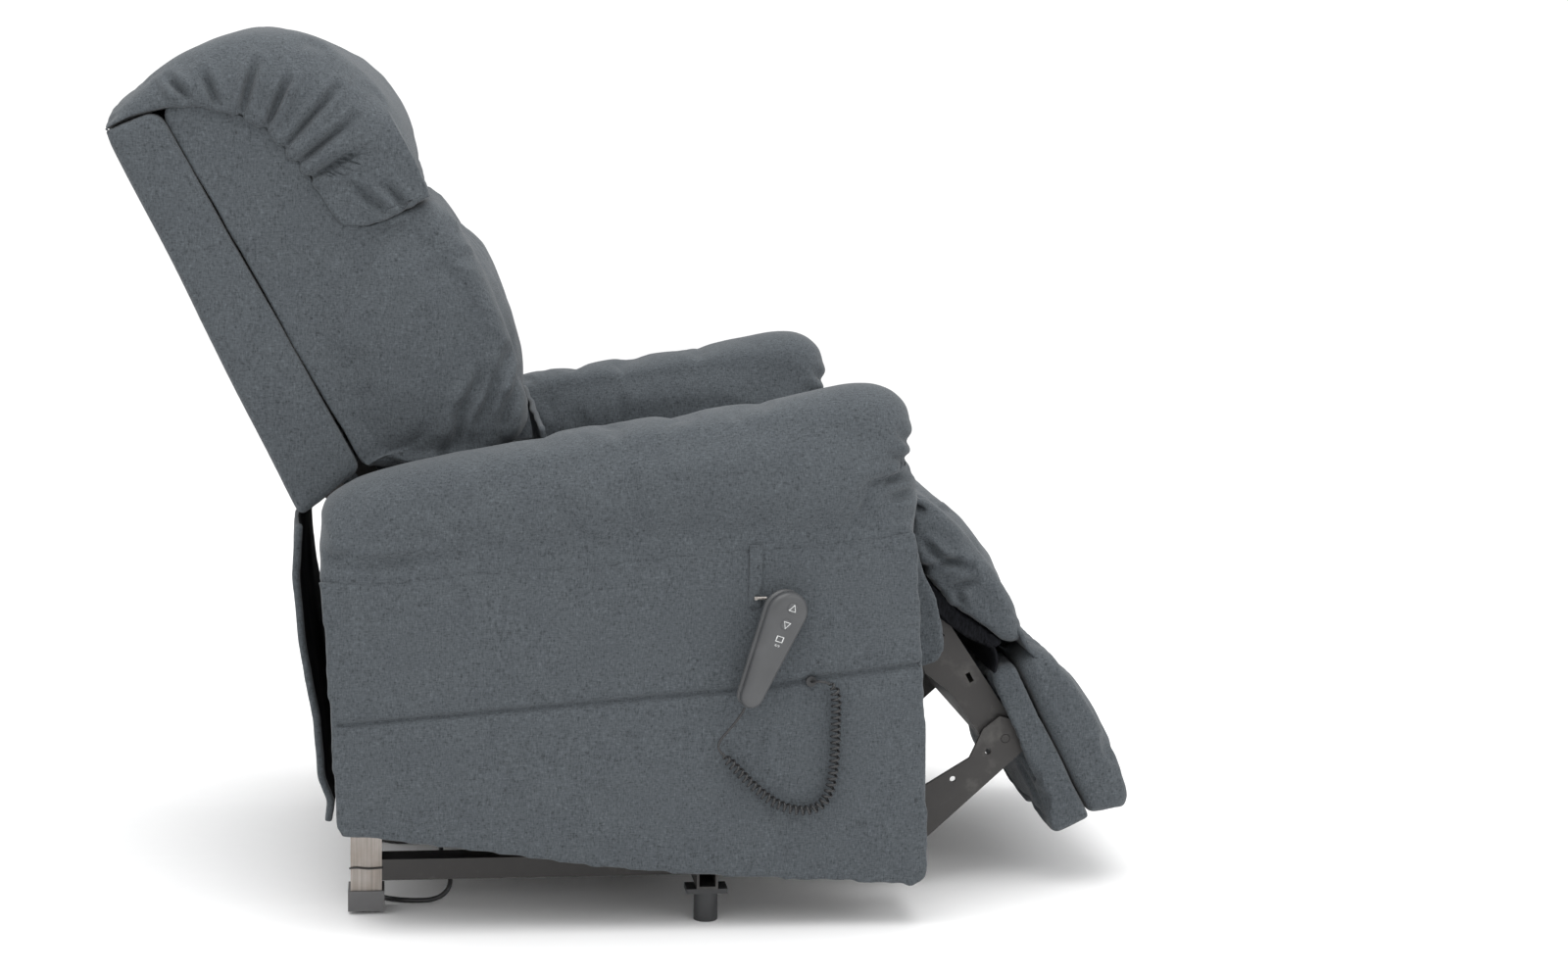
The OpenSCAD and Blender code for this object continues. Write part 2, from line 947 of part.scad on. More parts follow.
// Cloth boxing behind the foot pad, open where the plates of the linkage pass
module foot_boxing() {
    slot_side = 1.5;
    slot_w = stay_in + plate_t - bracket_in + 2 * slot_side;
    color(cloth)
        difference() {
            translate([0, pad_half, 0])
                rotate([90, 0, 0])
                    linear_extrude(height = 2 * pad_half)
                        polygon([
                            [434, 274], [459, 279], [561, 84], [518, 63], [508, 70], [498, 106],
                            [427, 262], [427, 268]
                        ]);
            pair()
                slab(bracket_in - slot_side, slot_w)
                    polygon([[420, 130], [498, 130], [502, 232], [462, 268], [420, 268]]);
        }
}

module foot_cushion() {
    color(cloth)
        translate([0, pad_half, 0])
            rotate([90, 0, 0])
                linear_extrude(height = 2 * pad_half)
                    polygon([
                        [475, 298], [492, 297], [510, 289], [530, 266], [549, 240], [566, 214],
                        [581, 185], [594, 160], [602, 141], [609, 120], [611, 104], [607, 88],
                        [574.5, 90], [471.5, 286]
                    ]);
}

module swing_arms() {
    color(steel)
        pair() {
            slab(inner_link_in, plate_t)
                difference() {
                    link_outline(swing_top, swing_foot, 28);
                    disc(swing_top, pin_d + 2 * run_gap);
                }
            pin(swing_foot, 10, stay_in, inner_link_in + plate_t);
        }
}

// Wide lower arms that keep the leg rest square to the seat
module stay_arms() {
    color(steel)
        pair()
            slab(stay_in, plate_t)
                difference() {
                    union() {
                        disc(swing_foot, 38);
                        polygon([
                            [306, 95], [356, 128], [408, 160], [424, 196], [444, 212], [466, 206],
                            [484, 177], [356, 60], [328, 64]
                        ]);
                    }
                    disc(swing_foot, 10 + 2 * run_gap);
                    disc(stay_front, 10 + 2 * open_gap);
                    disc([388, 134], 7.4);
                    disc([431, 168], 7.4);
                }
}

// ---------- handset ----------

module in_hand() {
    translate(handset_at)
        rotate([0, handset_lean, 0])
            rotate([0, 0, handset_turn])
                children();
}

module handset_outline(inset) {
    top = handset_l / 2 - handset_r;
    tail = handset_tail_r - handset_l / 2;
    r = handset_r - inset;
    q = handset_tail_r - inset;
    translate([0, top])
        circle(r = r, $fn = 64);
    translate([0, tail])
        circle(r = q, $fn = 48);
    polygon([[-r, top], [-q, tail], [q, tail], [r, top]]);
}

// Two-part moulded case, hollow, with a round hole for each button
module handset_shell() {
    half = handset_t / 2;
    color(plastic)
        in_hand()
            difference() {
                slab(-half, handset_t)
                    handset_outline(0);
                slab(-half + handset_wall, handset_t - 2 * handset_wall)
                    handset_outline(handset_wall);
                for (z = button_at)
                    translate([0, -half + handset_wall + 1, z])
                        rotate([90, 0, 0])
                            cylinder(d = button_d + 2 * button_gap, h = handset_wall + 2, $fn = 48);
            }
}

module button(z) {
    proud = 2;
    color("#a9adb0")
        in_hand()
            translate([0, -handset_t / 2 + handset_wall + 2, z])
                rotate([90, 0, 0])
                    cylinder(d = button_d, h = handset_wall + 2 + proud, $fn = 48);
}

module button_up() {
    button(button_at[0]);
}

module button_down() {
    button(button_at[1]);
}

base_rail_right();
base_rail_left();
rear_cross_tube();
front_cross_tube();
rear_posts();
rear_foot_caps();
front_feet();
base_lugs();
base_pins();
actuator_bracket();
power_supply();
mains_gland();
mains_cord();
mains_coil();
mains_plug();
rear_lift_links();
torque_tube();
front_lift_links();
actuator_motor();
actuator_tube();
actuator_rod();
side_plate_right();
side_plate_left();
frame_pins();
frame_cross_tube();
seat_rails();
seat_springs();
seat_cushion();
outer_panel_right();
outer_panel_left();
inner_panel_right();
inner_panel_left();
arm_front_panels();
arm_pad_right();
arm_pad_left();
handset_strap();
handset_hook();
cord_grommet();
handset_cord_leads();
handset_cord_curl();
back_panel();
back_sides();
back_frame();
back_brackets();
head_pillow();
lumbar_cushion();
rear_flap();
calf_brackets();
calf_board();
calf_pad();
footrest_channel();
foot_board();
foot_boxing();
foot_cushion();
swing_arms();
stay_arms();
handset_shell();
button_up();
button_down();
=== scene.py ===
"""Looks of a lift recliner chair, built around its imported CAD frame.

Metres, in the row frame: the chair faces +X, the sitter's left is +Y, the floor is z = 0.
The near side, with the handset, is -Y. Soft pieces are made from the CAD's own soft solids.
"""

import json
from math import cos, hypot, pi, radians, sin

import bpy
import bmesh
import numpy as np
from mathutils import Matrix, Vector, noise


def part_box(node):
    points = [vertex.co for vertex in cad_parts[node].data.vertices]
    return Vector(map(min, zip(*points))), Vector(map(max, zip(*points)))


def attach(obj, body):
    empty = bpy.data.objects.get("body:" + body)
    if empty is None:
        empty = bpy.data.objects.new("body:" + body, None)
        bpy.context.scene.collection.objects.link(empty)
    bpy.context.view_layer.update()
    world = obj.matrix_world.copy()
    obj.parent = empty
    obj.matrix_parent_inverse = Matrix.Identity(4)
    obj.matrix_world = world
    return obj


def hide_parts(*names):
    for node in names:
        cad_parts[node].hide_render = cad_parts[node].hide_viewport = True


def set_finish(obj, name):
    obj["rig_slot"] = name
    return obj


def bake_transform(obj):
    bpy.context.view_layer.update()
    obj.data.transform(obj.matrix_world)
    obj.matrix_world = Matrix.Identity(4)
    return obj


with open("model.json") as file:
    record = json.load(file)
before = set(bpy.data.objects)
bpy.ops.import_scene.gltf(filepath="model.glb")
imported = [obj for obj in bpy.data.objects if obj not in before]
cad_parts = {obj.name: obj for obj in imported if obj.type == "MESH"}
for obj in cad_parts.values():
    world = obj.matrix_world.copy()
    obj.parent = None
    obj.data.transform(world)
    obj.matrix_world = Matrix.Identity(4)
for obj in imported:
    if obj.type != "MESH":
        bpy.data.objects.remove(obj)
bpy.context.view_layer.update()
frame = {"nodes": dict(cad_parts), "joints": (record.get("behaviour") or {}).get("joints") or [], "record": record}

SCENE = bpy.context.scene
MM = 0.001
NEAR, FAR = -1, 1
SIDE_NAMES = {NEAR: "right", FAR: "left"}
JOINTS = {joint["name"]: joint for joint in frame["joints"]}

# The back's own axes: out from the frame and up its slope, from the recline pivot
BACK_LEAN = radians(26.3)
BACK_PIVOT = JOINTS["recline"]["pos_m"]


def from_back(out, up):
    """The (x, z) of a point of the back's own axes."""
    x = BACK_PIVOT[0] + out * cos(BACK_LEAN) - up * sin(BACK_LEAN)
    z = BACK_PIVOT[2] + out * sin(BACK_LEAN) + up * cos(BACK_LEAN)
    return x, z


def to_back(co):
    """(out, up) in the back's own axes of an array of points."""
    dx = co[:, 0] - BACK_PIVOT[0]
    dz = co[:, 2] - BACK_PIVOT[2]
    out = dx * cos(BACK_LEAN) + dz * sin(BACK_LEAN)
    up = dz * cos(BACK_LEAN) - dx * sin(BACK_LEAN)
    return out, up


# ---------------------------------------------------------------- camera


CAMERA_AT = (-0.28814, -3.41964, 0.96941)
CAMERA_YAW, CAMERA_PITCH, CAMERA_ROLL = radians(-8.2), radians(8.4), radians(1.2)
CAMERA_LENS, SENSOR_WIDTH = 63, 36


def make_camera():
    flat = cos(CAMERA_PITCH)
    back = Vector((sin(CAMERA_YAW) * flat, -cos(CAMERA_YAW) * flat, sin(CAMERA_PITCH)))
    level = Vector((cos(CAMERA_YAW), sin(CAMERA_YAW), 0))
    upright = back.cross(level)
    right = level * cos(CAMERA_ROLL) + upright * sin(CAMERA_ROLL)
    up = upright * cos(CAMERA_ROLL) - level * sin(CAMERA_ROLL)
    data = bpy.data.cameras.new("camera")
    data.lens = CAMERA_LENS
    data.sensor_width = SENSOR_WIDTH
    camera = bpy.data.objects.new("camera", data)
    SCENE.collection.objects.link(camera)
    turn = Matrix((right, up, back)).transposed()
    camera.matrix_world = Matrix.Translation(CAMERA_AT) @ turn.to_4x4()
    SCENE.camera = camera


make_camera()

# ---------------------------------------------------------------- materials


class Paint:
    """A node material, with short ways to add and join nodes."""

    def __init__(self, name, roughness, metallic=0.0, specular=0.5):
        self.material = bpy.data.materials.new(name)
        self.material.use_nodes = True
        self.tree = self.material.node_tree
        self.shader = self.tree.nodes["Principled BSDF"]
        self.shader.inputs["Roughness"].default_value = roughness
        self.shader.inputs["Metallic"].default_value = metallic
        self.shader.inputs["Specular IOR Level"].default_value = specular
        self.place = self.node("ShaderNodeTexCoord").outputs["Object"]

    def node(self, kind, inputs=None, **values):
        made = self.tree.nodes.new(kind)
        for key, value in values.items():
            setattr(made, key, value)
        for key, value in (inputs or {}).items():
            made.inputs[key].default_value = value
        return made

    def join(self, source, target):
        self.tree.links.new(source, target)

    def stretched(self, scale, turn=(0, 0, 0)):
        """The object's coordinates, scaled along each axis."""
        mapping = self.node("ShaderNodeMapping", {"Scale": scale, "Rotation": turn})
        self.join(self.place, mapping.inputs["Vector"])
        return mapping.outputs["Vector"]

    def noise(self, scale, detail=2.0, roughness=0.5, stretch=None, turn=(0, 0, 0)):
        made = self.node("ShaderNodeTexNoise", {"Scale": scale, "Detail": detail, "Roughness": roughness})
        self.join(self.stretched(stretch or (1, 1, 1), turn), made.inputs["Vector"])
        return made.outputs["Fac"]

    def math(self, operation, a, b):
        made = self.node("ShaderNodeMath", operation=operation)
        for socket, value in zip(made.inputs, (a, b)):
            if isinstance(value, (int, float)):
                socket.default_value = value
            else:
                self.join(value, socket)
        return made.outputs["Value"]

    def ramp(self, source, stops):
        made = self.node("ShaderNodeValToRGB")
        band = made.color_ramp
        while len(band.elements) < len(stops):
            band.elements.new(0.5)
        for element, (position, colour) in zip(band.elements, stops):
            element.position = position
            element.color = (*colour, 1)
        self.join(source, made.inputs["Fac"])
        return made.outputs["Color"]

    def multiply(self, a, b):
        made = self.node("ShaderNodeMix", {"Factor": 1}, data_type="RGBA", blend_type="MULTIPLY")
        self.join(a, made.inputs["A"])
        self.join(b, made.inputs["B"])
        return made.outputs["Result"]

    def colour(self, source):
        self.join(source, self.shader.inputs["Base Color"])

    def rough(self, source, low, high):
        made = self.node("ShaderNodeMapRange", {"To Min": low, "To Max": high})
        self.join(source, made.inputs["Value"])
        self.join(made.outputs["Result"], self.shader.inputs["Roughness"])

    def bump(self, height, strength, distance):
        made = self.node("ShaderNodeBump", {"Strength": strength, "Distance": distance})
        self.join(height, made.inputs["Height"])
        self.join(made.outputs["Normal"], self.shader.inputs["Normal"])


def tint(colour, factor):
    return tuple(channel * factor for channel in colour)


def woven_cloth(name, colour, contrast, sheen):
    """Heathered plain weave: dark and light yarns both ways, slubs and a soft mottle."""
    paint = Paint(name, roughness=0.93, specular=0.18)
    upright = paint.noise(620, detail=2, stretch=(1, 1, 0.3))
    across = paint.noise(620, detail=2, stretch=(0.3, 1, 1), turn=(0, 0.12, 0))
    speck = paint.noise(1300, detail=1)
    mottle = paint.noise(26, detail=3)
    yarn = paint.math("ADD", paint.math("MULTIPLY", upright, 0.42), paint.math("MULTIPLY", across, 0.36))
    heather = paint.math("ADD", yarn, paint.math("MULTIPLY", speck, 0.22))
    low, high = 1 - contrast, 1 + contrast
    yarns = ((0.36, low), (0.47, 0.94), (0.56, 1.1), (0.66, high))
    threads = paint.ramp(heather, [(stop, tint(colour, share)) for stop, share in yarns])
    shade = paint.ramp(mottle, [(0.3, (0.93, 0.93, 0.94)), (0.7, (1.0, 1.0, 1.0))])
    paint.colour(paint.multiply(threads, shade))
    weave = paint.math("ADD", heather, paint.math("MULTIPLY", speck, 0.5))
    paint.bump(weave, 0.55, 0.0011)
    paint.shader.inputs["Sheen Weight"].default_value = sheen
    paint.shader.inputs["Sheen Roughness"].default_value = 0.45
    return paint.material


def thin_lining(name, colour):
    paint = Paint(name, roughness=0.96, specular=0.12)
    web = paint.noise(520, detail=2, stretch=(1, 1, 0.3))
    # Painted shade: a slow noise darkens the lining in patches, standing in for the shade in its folds
    painted_fold_shade = paint.noise(14, detail=3)
    fibres = paint.ramp(web, [(0.35, tint(colour, 0.6)), (0.65, tint(colour, 1.6))])
    shade = paint.ramp(painted_fold_shade, [(0.3, (0.75, 0.75, 0.75)), (0.7, (1, 1, 1))])
    paint.colour(paint.multiply(fibres, shade))
    paint.bump(web, 0.4, 0.0006)
    return paint.material


def painted_steel(name, colour, dust):
    """Powder coat: fine orange peel, with pale dust and rubbed patches."""
    paint = Paint(name, roughness=0.48, metallic=0.25, specular=0.5)
    peel = paint.noise(900, detail=1)
    patches = paint.noise(17, detail=5, roughness=0.62)
    paint.colour(paint.ramp(patches, [(0.35, colour), (0.58, tint(colour, 1.25)), (0.78, dust)]))
    paint.rough(patches, 0.4, 0.66)
    paint.bump(peel, 0.22, 0.0004)
    return paint.material


def brushed_steel(name, colour, roughness):
    paint = Paint(name, roughness=roughness, metallic=0.85)
    grain = paint.noise(420, detail=3, stretch=(1, 1, 0.03))
    stain = paint.noise(22, detail=4)
    lines = paint.ramp(grain, [(0.3, tint(colour, 0.78)), (0.7, tint(colour, 1.18))])
    marks = paint.ramp(stain, [(0.35, (0.78, 0.74, 0.7)), (0.6, (1, 1, 1))])
    paint.colour(paint.multiply(lines, marks))
    paint.rough(grain, roughness - 0.08, roughness + 0.14)
    paint.bump(grain, 0.12, 0.0003)
    return paint.material


def polished_steel(name, colour):
    paint = Paint(name, roughness=0.12, metallic=1.0)
    rings = paint.noise(300, detail=2, stretch=(1, 0.05, 1))
    paint.colour(paint.ramp(rings, [(0.3, tint(colour, 0.92)), (0.7, colour)]))
    paint.rough(rings, 0.08, 0.2)
    return paint.material


def moulded_plastic(name, colour, roughness):
    """Spark-eroded moulding: a fine grain, with slightly polished patches."""
    paint = Paint(name, roughness=roughness, specular=0.45)
    grain = paint.noise(1500, detail=1)
    wear = paint.noise(34, detail=4)
    paint.colour(paint.ramp(wear, [(0.3, tint(colour, 0.9)), (0.7, tint(colour, 1.12))]))
    paint.rough(wear, roughness - 0.1, roughness + 0.08)
    paint.bump(grain, 0.2, 0.0003)
    return paint.material


def sawn_timber(name, pale, dark):
    paint = Paint(name, roughness=0.72, specular=0.25)
    rings = paint.noise(70, detail=5, roughness=0.6, stretch=(0.12, 1, 1))
    pores = paint.noise(700, detail=2, stretch=(0.08, 1, 1))
    grain = paint.ramp(rings, [(0.32, dark), (0.5, tint(pale, 0.85)), (0.68, pale)])
    fleck = paint.ramp(pores, [(0.35, (0.78, 0.74, 0.7)), (0.55, (1, 1, 1))])
    paint.colour(paint.multiply(grain, fleck))
    paint.bump(pores, 0.3, 0.0005)
    return paint.material


def silver_print(name):
    paint = Paint(name, roughness=0.38, metallic=0.2)
    worn = paint.noise(420, detail=3)
    paint.colour(paint.ramp(worn, [(0.32, (0.42, 0.43, 0.43)), (0.6, (0.7, 0.71, 0.71))]))
    paint.rough(worn, 0.3, 0.5)
    return paint.material


CLOTH = woven_cloth("woven_cloth", (0.074, 0.0835, 0.0915), contrast=0.5, sheen=0.12)
LINING = thin_lining("black_lining", (0.008, 0.0085, 0.0105))
DARK_STEEL = painted_steel("dark_powder_coat", (0.034, 0.032, 0.031), (0.11, 0.107, 0.1))
BARE_STEEL = brushed_steel("brushed_steel", (0.36, 0.335, 0.315), 0.38)
CHROME = polished_steel("polished_rod", (0.75, 0.76, 0.78))
TIMBER = sawn_timber("sawn_timber", (0.5, 0.37, 0.22), (0.27, 0.17, 0.085))
GREY_PLASTIC = moulded_plastic("grey_plastic", (0.105, 0.104, 0.106), 0.5)
DARK_PLASTIC = moulded_plastic("dark_plastic", (0.03, 0.031, 0.033), 0.46)
HANDSET_PLASTIC = moulded_plastic("handset_plastic", (0.062, 0.064, 0.067), 0.4)
RUBBER = moulded_plastic("cord_rubber", (0.026, 0.026, 0.027), 0.27)
KEY_PLASTIC = moulded_plastic("key_plastic", (0.075, 0.077, 0.08), 0.42)
PRINT = silver_print("silver_print")

SLOT_MATERIALS = {
    "upholstery": CLOTH,
    "black_lining": LINING,
    "dark_steel": DARK_STEEL,
    "bare_steel": BARE_STEEL,
    "chromed_rod": CHROME,
    "timber": TIMBER,
    "grey_plastic": GREY_PLASTIC,
    "dark_plastic": DARK_PLASTIC,
    "cord_rubber": RUBBER,
    "button_grey": KEY_PLASTIC,
}


def dress_cad_nodes():
    for part in frame["record"]["subparts"]:
        mesh = frame["nodes"][part["node"]].data
        mesh.materials.clear()
        mesh.materials.append(SLOT_MATERIALS[part["material_slot"]])


dress_cad_nodes()

# ---------------------------------------------------------------- mesh helpers


def add_piece(name, mesh, slot):
    piece = bpy.data.objects.new(name, mesh)
    SCENE.collection.objects.link(piece)
    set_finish(piece, slot)
    return piece


def add_mesh(name, vertices, faces, material, slot, smooth=True):
    mesh = bpy.data.meshes.new(name)
    mesh.from_pydata([tuple(v) for v in vertices], [], faces)
    mesh.materials.append(material)
    mesh.polygons.foreach_set("use_smooth", [smooth] * len(mesh.polygons))
    mesh.update()
    return add_piece(name, mesh, slot)


def from_nodes(name, *nodes, material=None, slot="upholstery"):
    """A new piece that starts as the surfaces of some CAD nodes."""
    grown = bmesh.new()
    for node in nodes:
        grown.from_mesh(frame["nodes"][node].data)
    mesh = bpy.data.meshes.new(name)
    grown.to_mesh(mesh)
    grown.free()
    mesh.materials.clear()
    mesh.materials.append(material or CLOTH)
    return add_piece(name, mesh, slot)


def points(piece):
    co = np.empty(len(piece.data.vertices) * 3)
    piece.data.vertices.foreach_get("co", co)
    return co.reshape(-1, 3)


def normals(piece):
    out = np.empty(len(piece.data.vertices) * 3)
    piece.data.vertices.foreach_get("normal", out)
    return out.reshape(-1, 3)


def move_to(piece, co):
    piece.data.vertices.foreach_set("co", np.ascontiguousarray(co).ravel())
    piece.data.update()


def bake_modifiers(piece):
    graph = bpy.context.evaluated_depsgraph_get()
    mesh = bpy.data.meshes.new_from_object(piece.evaluated_get(graph))
    piece.modifiers.clear()
    piece.data = mesh


def remesh(piece, size):
    step = piece.modifiers.new("remesh", "REMESH")
    step.mode = "VOXEL"
    step.voxel_size = size
    bake_modifiers(piece)


def smooth(piece, rounds, share=0.5):
    step = piece.modifiers.new("smooth", "SMOOTH")
    step.factor = share
    step.iterations = rounds
    bake_modifiers(piece)


def subdivide(piece, levels=1):
    step = piece.modifiers.new("subdivide", "SUBSURF")
    step.levels = levels
    step.render_levels = levels
    bake_modifiers(piece)
    piece.data.polygons.foreach_set("use_smooth", [True] * len(piece.data.polygons))


def nearest_on_line(co, line):
    """For each point: its distance to a polyline of the side view, how far along that is, and the place."""
    flat = co[:, [0, 2]]
    best = np.full(len(co), 1e9)
    reach = np.zeros(len(co))
    places = np.zeros_like(flat)
    done = 0.0
    for a, b in zip(line[:-1], line[1:]):
        a, b = np.array(a), np.array(b)
        way = b - a
        length = np.linalg.norm(way)
        t = np.clip((flat - a) @ way / length**2, 0, 1)
        place = a + t[:, None] * way
        gap = np.linalg.norm(flat - place, axis=1)
        closer = gap < best
        best = np.where(closer, gap, best)
        reach = np.where(closer, done + t * length, reach)
        places[closer] = place[closer]
        done += length
    return best, reach, places


def along_line(co, line):
    """For each point, its distance to a polyline in the side view, and how far along it lies."""
    return nearest_on_line(co, line)[:2]


def ripple(co, size, seed):
    """Smooth noise from -1 to 1, of a given size in metres."""
    shift = Vector((seed * 3.7, seed * 1.9, seed * 5.3))
    return np.array([noise.noise(Vector(p) / size + shift) for p in co])


def end_inset(co, radius, middle=0.0):
    """How far a quarter round of this radius draws in the points near a pad's Y ends."""
    off = np.abs(co[:, 1] - middle)
    t = np.clip((off - off.max() + radius) / radius, 0, 1)
    return radius * (1 - np.sqrt(1 - t**2))


def round_ends(piece, radius, anchor, reach):
    """Rolls both Y ends of a pad in towards an anchor point of the side view."""
    co = points(piece)
    shrink = 1 - end_inset(co, radius) / reach
    for axis, fixed in zip((0, 2), anchor):
        co[:, axis] = fixed + (co[:, axis] - fixed) * shrink
    move_to(piece, co)


def roll_to_line(piece, line, radius):
    """Rolls both Y ends of a pad in towards a line of the side view, which stays where it is."""
    co = points(piece)
    gap, _, places = nearest_on_line(co, line)
    shrink = 1 - end_inset(co, radius) / np.maximum(gap, radius * 1.25)
    co[:, [0, 2]] = places + (co[:, [0, 2]] - places) * shrink[:, None]
    move_to(piece, co)


def face_outward(piece):
    """Turns every face of a closed skin outward."""
    grown = bmesh.new()
    grown.from_mesh(piece.data)
    bmesh.ops.recalc_face_normals(grown, faces=grown.faces)
    grown.to_mesh(piece.data)
    grown.free()


def extruded(name, outline, half, material, slot, y_low=None):
    """A closed solid of a side-view outline, from -half to half, or from y_low to half."""
    y_low = -half if y_low is None else y_low
    count = len(outline)
    vertices = [(x, y, z) for y in (y_low, half) for x, z in outline]
    faces = [tuple(range(count)), tuple(range(2 * count - 1, count - 1, -1))]
    for k in range(count):
        nxt = (k + 1) % count
        faces.append((k, count + k, count + nxt, nxt))
    piece = add_mesh(name, vertices, faces, material, slot)
    face_outward(piece)
    return piece


CLOTH_FRAMES = 20


def inflate(piece, pinned, pressure=4.0, cap=0.024, slack=-0.03):
    """Cloth under air pressure. Returns how far each point moved, at most cap."""
    start = points(piece)
    group = piece.vertex_groups.new(name="pinned")
    group.add([int(i) for i in np.nonzero(pinned)[0]], 1.0, "REPLACE")
    step = piece.modifiers.new("cloth", "CLOTH")
    cloth = step.settings
    cloth.quality = 5
    cloth.mass = 0.3
    cloth.tension_stiffness = 14
    cloth.compression_stiffness = 14
    cloth.shear_stiffness = 5
    cloth.bending_stiffness = 0.4
    cloth.use_pressure = True
    cloth.uniform_pressure_force = pressure
    cloth.shrink_min = slack
    cloth.vertex_group_mass = "pinned"
    cloth.effector_weights.gravity = 0
    step.collision_settings.use_collision = False
    step.point_cache.frame_start = 1
    step.point_cache.frame_end = CLOTH_FRAMES
    for number in range(1, CLOTH_FRAMES + 1):
        SCENE.frame_set(number)
    graph = bpy.context.evaluated_depsgraph_get()
    grown = piece.evaluated_get(graph).to_mesh()
    co = np.empty(len(grown.vertices) * 3)
    grown.vertices.foreach_get("co", co)
    moved = co.reshape(-1, 3) - start
    piece.modifiers.clear()
    piece.vertex_groups.clear()
    SCENE.frame_set(1)
    far = np.linalg.norm(moved, axis=1)
    return moved * np.minimum(1, cap / np.maximum(far, 1e-9))[:, None]


def puff(piece, pinned, proud=0.003, **settings):
    """Inflates a pad, then draws its full parts back to stand just proud of where they began."""
    moved = inflate(piece, pinned, **settings)
    if not moved.any():
        return
    facing = normals(piece)
    outward = (moved * facing).sum(1)
    full = np.percentile(outward[~pinned], 70)
    share = np.clip(outward / (0.6 * full), 0, 1)
    move_to(piece, points(piece) + moved - facing * (share * (full - proud))[:, None])
    smooth(piece, 1)


def press_line(piece, line, depth, width, only=None):
    """A sewn groove along a polyline of the side view."""
    co = points(piece)
    gap, _ = along_line(co, line)
    amount = depth * np.exp(-((gap / width) ** 2))
    if only is not None:
        amount = amount * only(co)
    move_to(piece, co - normals(piece) * amount[:, None])


def pucker(piece, line, height, reach, pitch, only=None, seed=1):
    """Small gathers that run away from a seam and fade out."""
    co = points(piece)
    gap, way = along_line(co, line)
    wander = ripple(co, 0.05, seed) * 1.9
    wave = np.sin(way / pitch * 2 * pi + wander * 2) * (0.6 + 0.4 * ripple(co, 0.09, seed + 4))
    amount = height * wave * np.exp(-gap / reach) * (1 - np.exp(-((gap / 0.004) ** 2)))
    if only is not None:
        amount = amount * only(co)
    move_to(piece, co + normals(piece) * amount[:, None])


def creases(piece, lines, depth, width, only=None):
    """Folds along single lines, each with a soft ridge beside it."""
    co = points(piece)
    amount = np.zeros(len(co))
    for line in lines:
        gap, way = along_line(co, line)
        length = hypot(line[1][0] - line[0][0], line[1][1] - line[0][1])
        fade = np.sin(np.clip(way / length, 0.04, 0.96) * pi) ** 0.5
        ridge = 0.7 * np.exp(-((gap - 1.9 * width) / (1.3 * width)) ** 2)
        amount += depth * fade * (ridge - np.exp(-((gap / width) ** 2)))
    if only is not None:
        amount = amount * only(co)
    move_to(piece, co + normals(piece) * amount[:, None])


def uneven(piece, size, height, seed):
    """Slow dents and swells of stuffing."""
    co = points(piece)
    move_to(piece, co + normals(piece) * (ripple(co, size, seed) * height)[:, None])


def on_ends(half, depth=0.02):
    """1 on a pad's Y ends, fading to 0 towards its middle."""
    return lambda co: np.clip((np.abs(co[:, 1]) - half + depth) / depth, 0, 1)


def mirrored(piece, name):
    """The same piece on the far side."""
    co = points(piece)
    co[:, 1] *= -1
    mesh = piece.data.copy()
    other = bpy.data.objects.new(name, mesh)
    SCENE.collection.objects.link(other)
    move_to(other, co)
    mesh.flip_normals()
    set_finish(other, piece["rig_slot"])
    return other


def settle(piece, fill, body, *nodes):
    """Attaches a padded piece to the body it rides, and hides the CAD nodes it stands for."""
    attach(piece, body)
    if nodes:
        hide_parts(*nodes)


def settle_sides(near, name, fill, node):
    """Settles a near piece of the chair frame and its mirror image, for a pair of CAD nodes."""
    far = mirrored(near, f"{name}_left")
    for piece, side in ((near, NEAR), (far, FAR)):
        settle(piece, fill, "chair_frame", f"{node}_{SIDE_NAMES[side]}")


def ribbon(name, line, y_low, y_high, thickness, material, slot, across=24, waves=0.0, seed=2):
    """A strip of cloth that follows a line of the side view, with real thickness."""
    line = smooth_line(line, 6)
    rows = []
    for i, (x, z) in enumerate(line):
        a, b = line[max(i - 1, 0)], line[min(i + 1, len(line) - 1)]
        length = hypot(b[0] - a[0], b[1] - a[1])
        rows.append((x, z, -(b[1] - a[1]) / length, (b[0] - a[0]) / length))
    vertices, faces = [], []
    for layer in (0, 1):
        for x, z, nx, nz in rows:
            for k in range(across + 1):
                y = y_low + (y_high - y_low) * k / across
                lift = waves * noise.noise(Vector((x * 9, y * 14, z * 9 + seed)))
                out = lift - layer * thickness
                vertices.append((x + nx * out, y, z + nz * out))
    wide, tall = across + 1, len(rows)
    layer_size = wide * tall
    for i in range(tall - 1):
        for k in range(across):
            a = i * wide + k
            quad = (a, a + 1, a + wide + 1, a + wide)
            faces.append(quad)
            faces.append(tuple(layer_size + v for v in reversed(quad)))
    rim = list(range(wide))
    rim += [i * wide + across for i in range(1, tall)]
    rim += [(tall - 1) * wide + k for k in range(across - 1, -1, -1)]
    rim += [i * wide for i in range(tall - 2, 0, -1)]
    for a, b in zip(rim, rim[1:] + rim[:1]):
        faces.append((b, a, layer_size + a, layer_size + b))
    return add_mesh(name, vertices, faces, material, slot)


def smooth_line(line, steps):
    """Catmull-Rom points through a line of any dimension."""
    pts = [np.array(p, float) for p in line]
    pts = [2 * pts[0] - pts[1], *pts, 2 * pts[-1] - pts[-2]]
    out = []
    for a, b, c, d in zip(pts, pts[1:], pts[2:], pts[3:]):
        for k in range(steps):
            t = k / steps
            square, cube = 2 * a - 5 * b + 4 * c - d, 3 * b - a - 3 * c + d
            out.append(0.5 * (2 * b + (c - a) * t + square * t**2 + cube * t**3))
    out.append(pts[-2])
    return [tuple(p) for p in out]


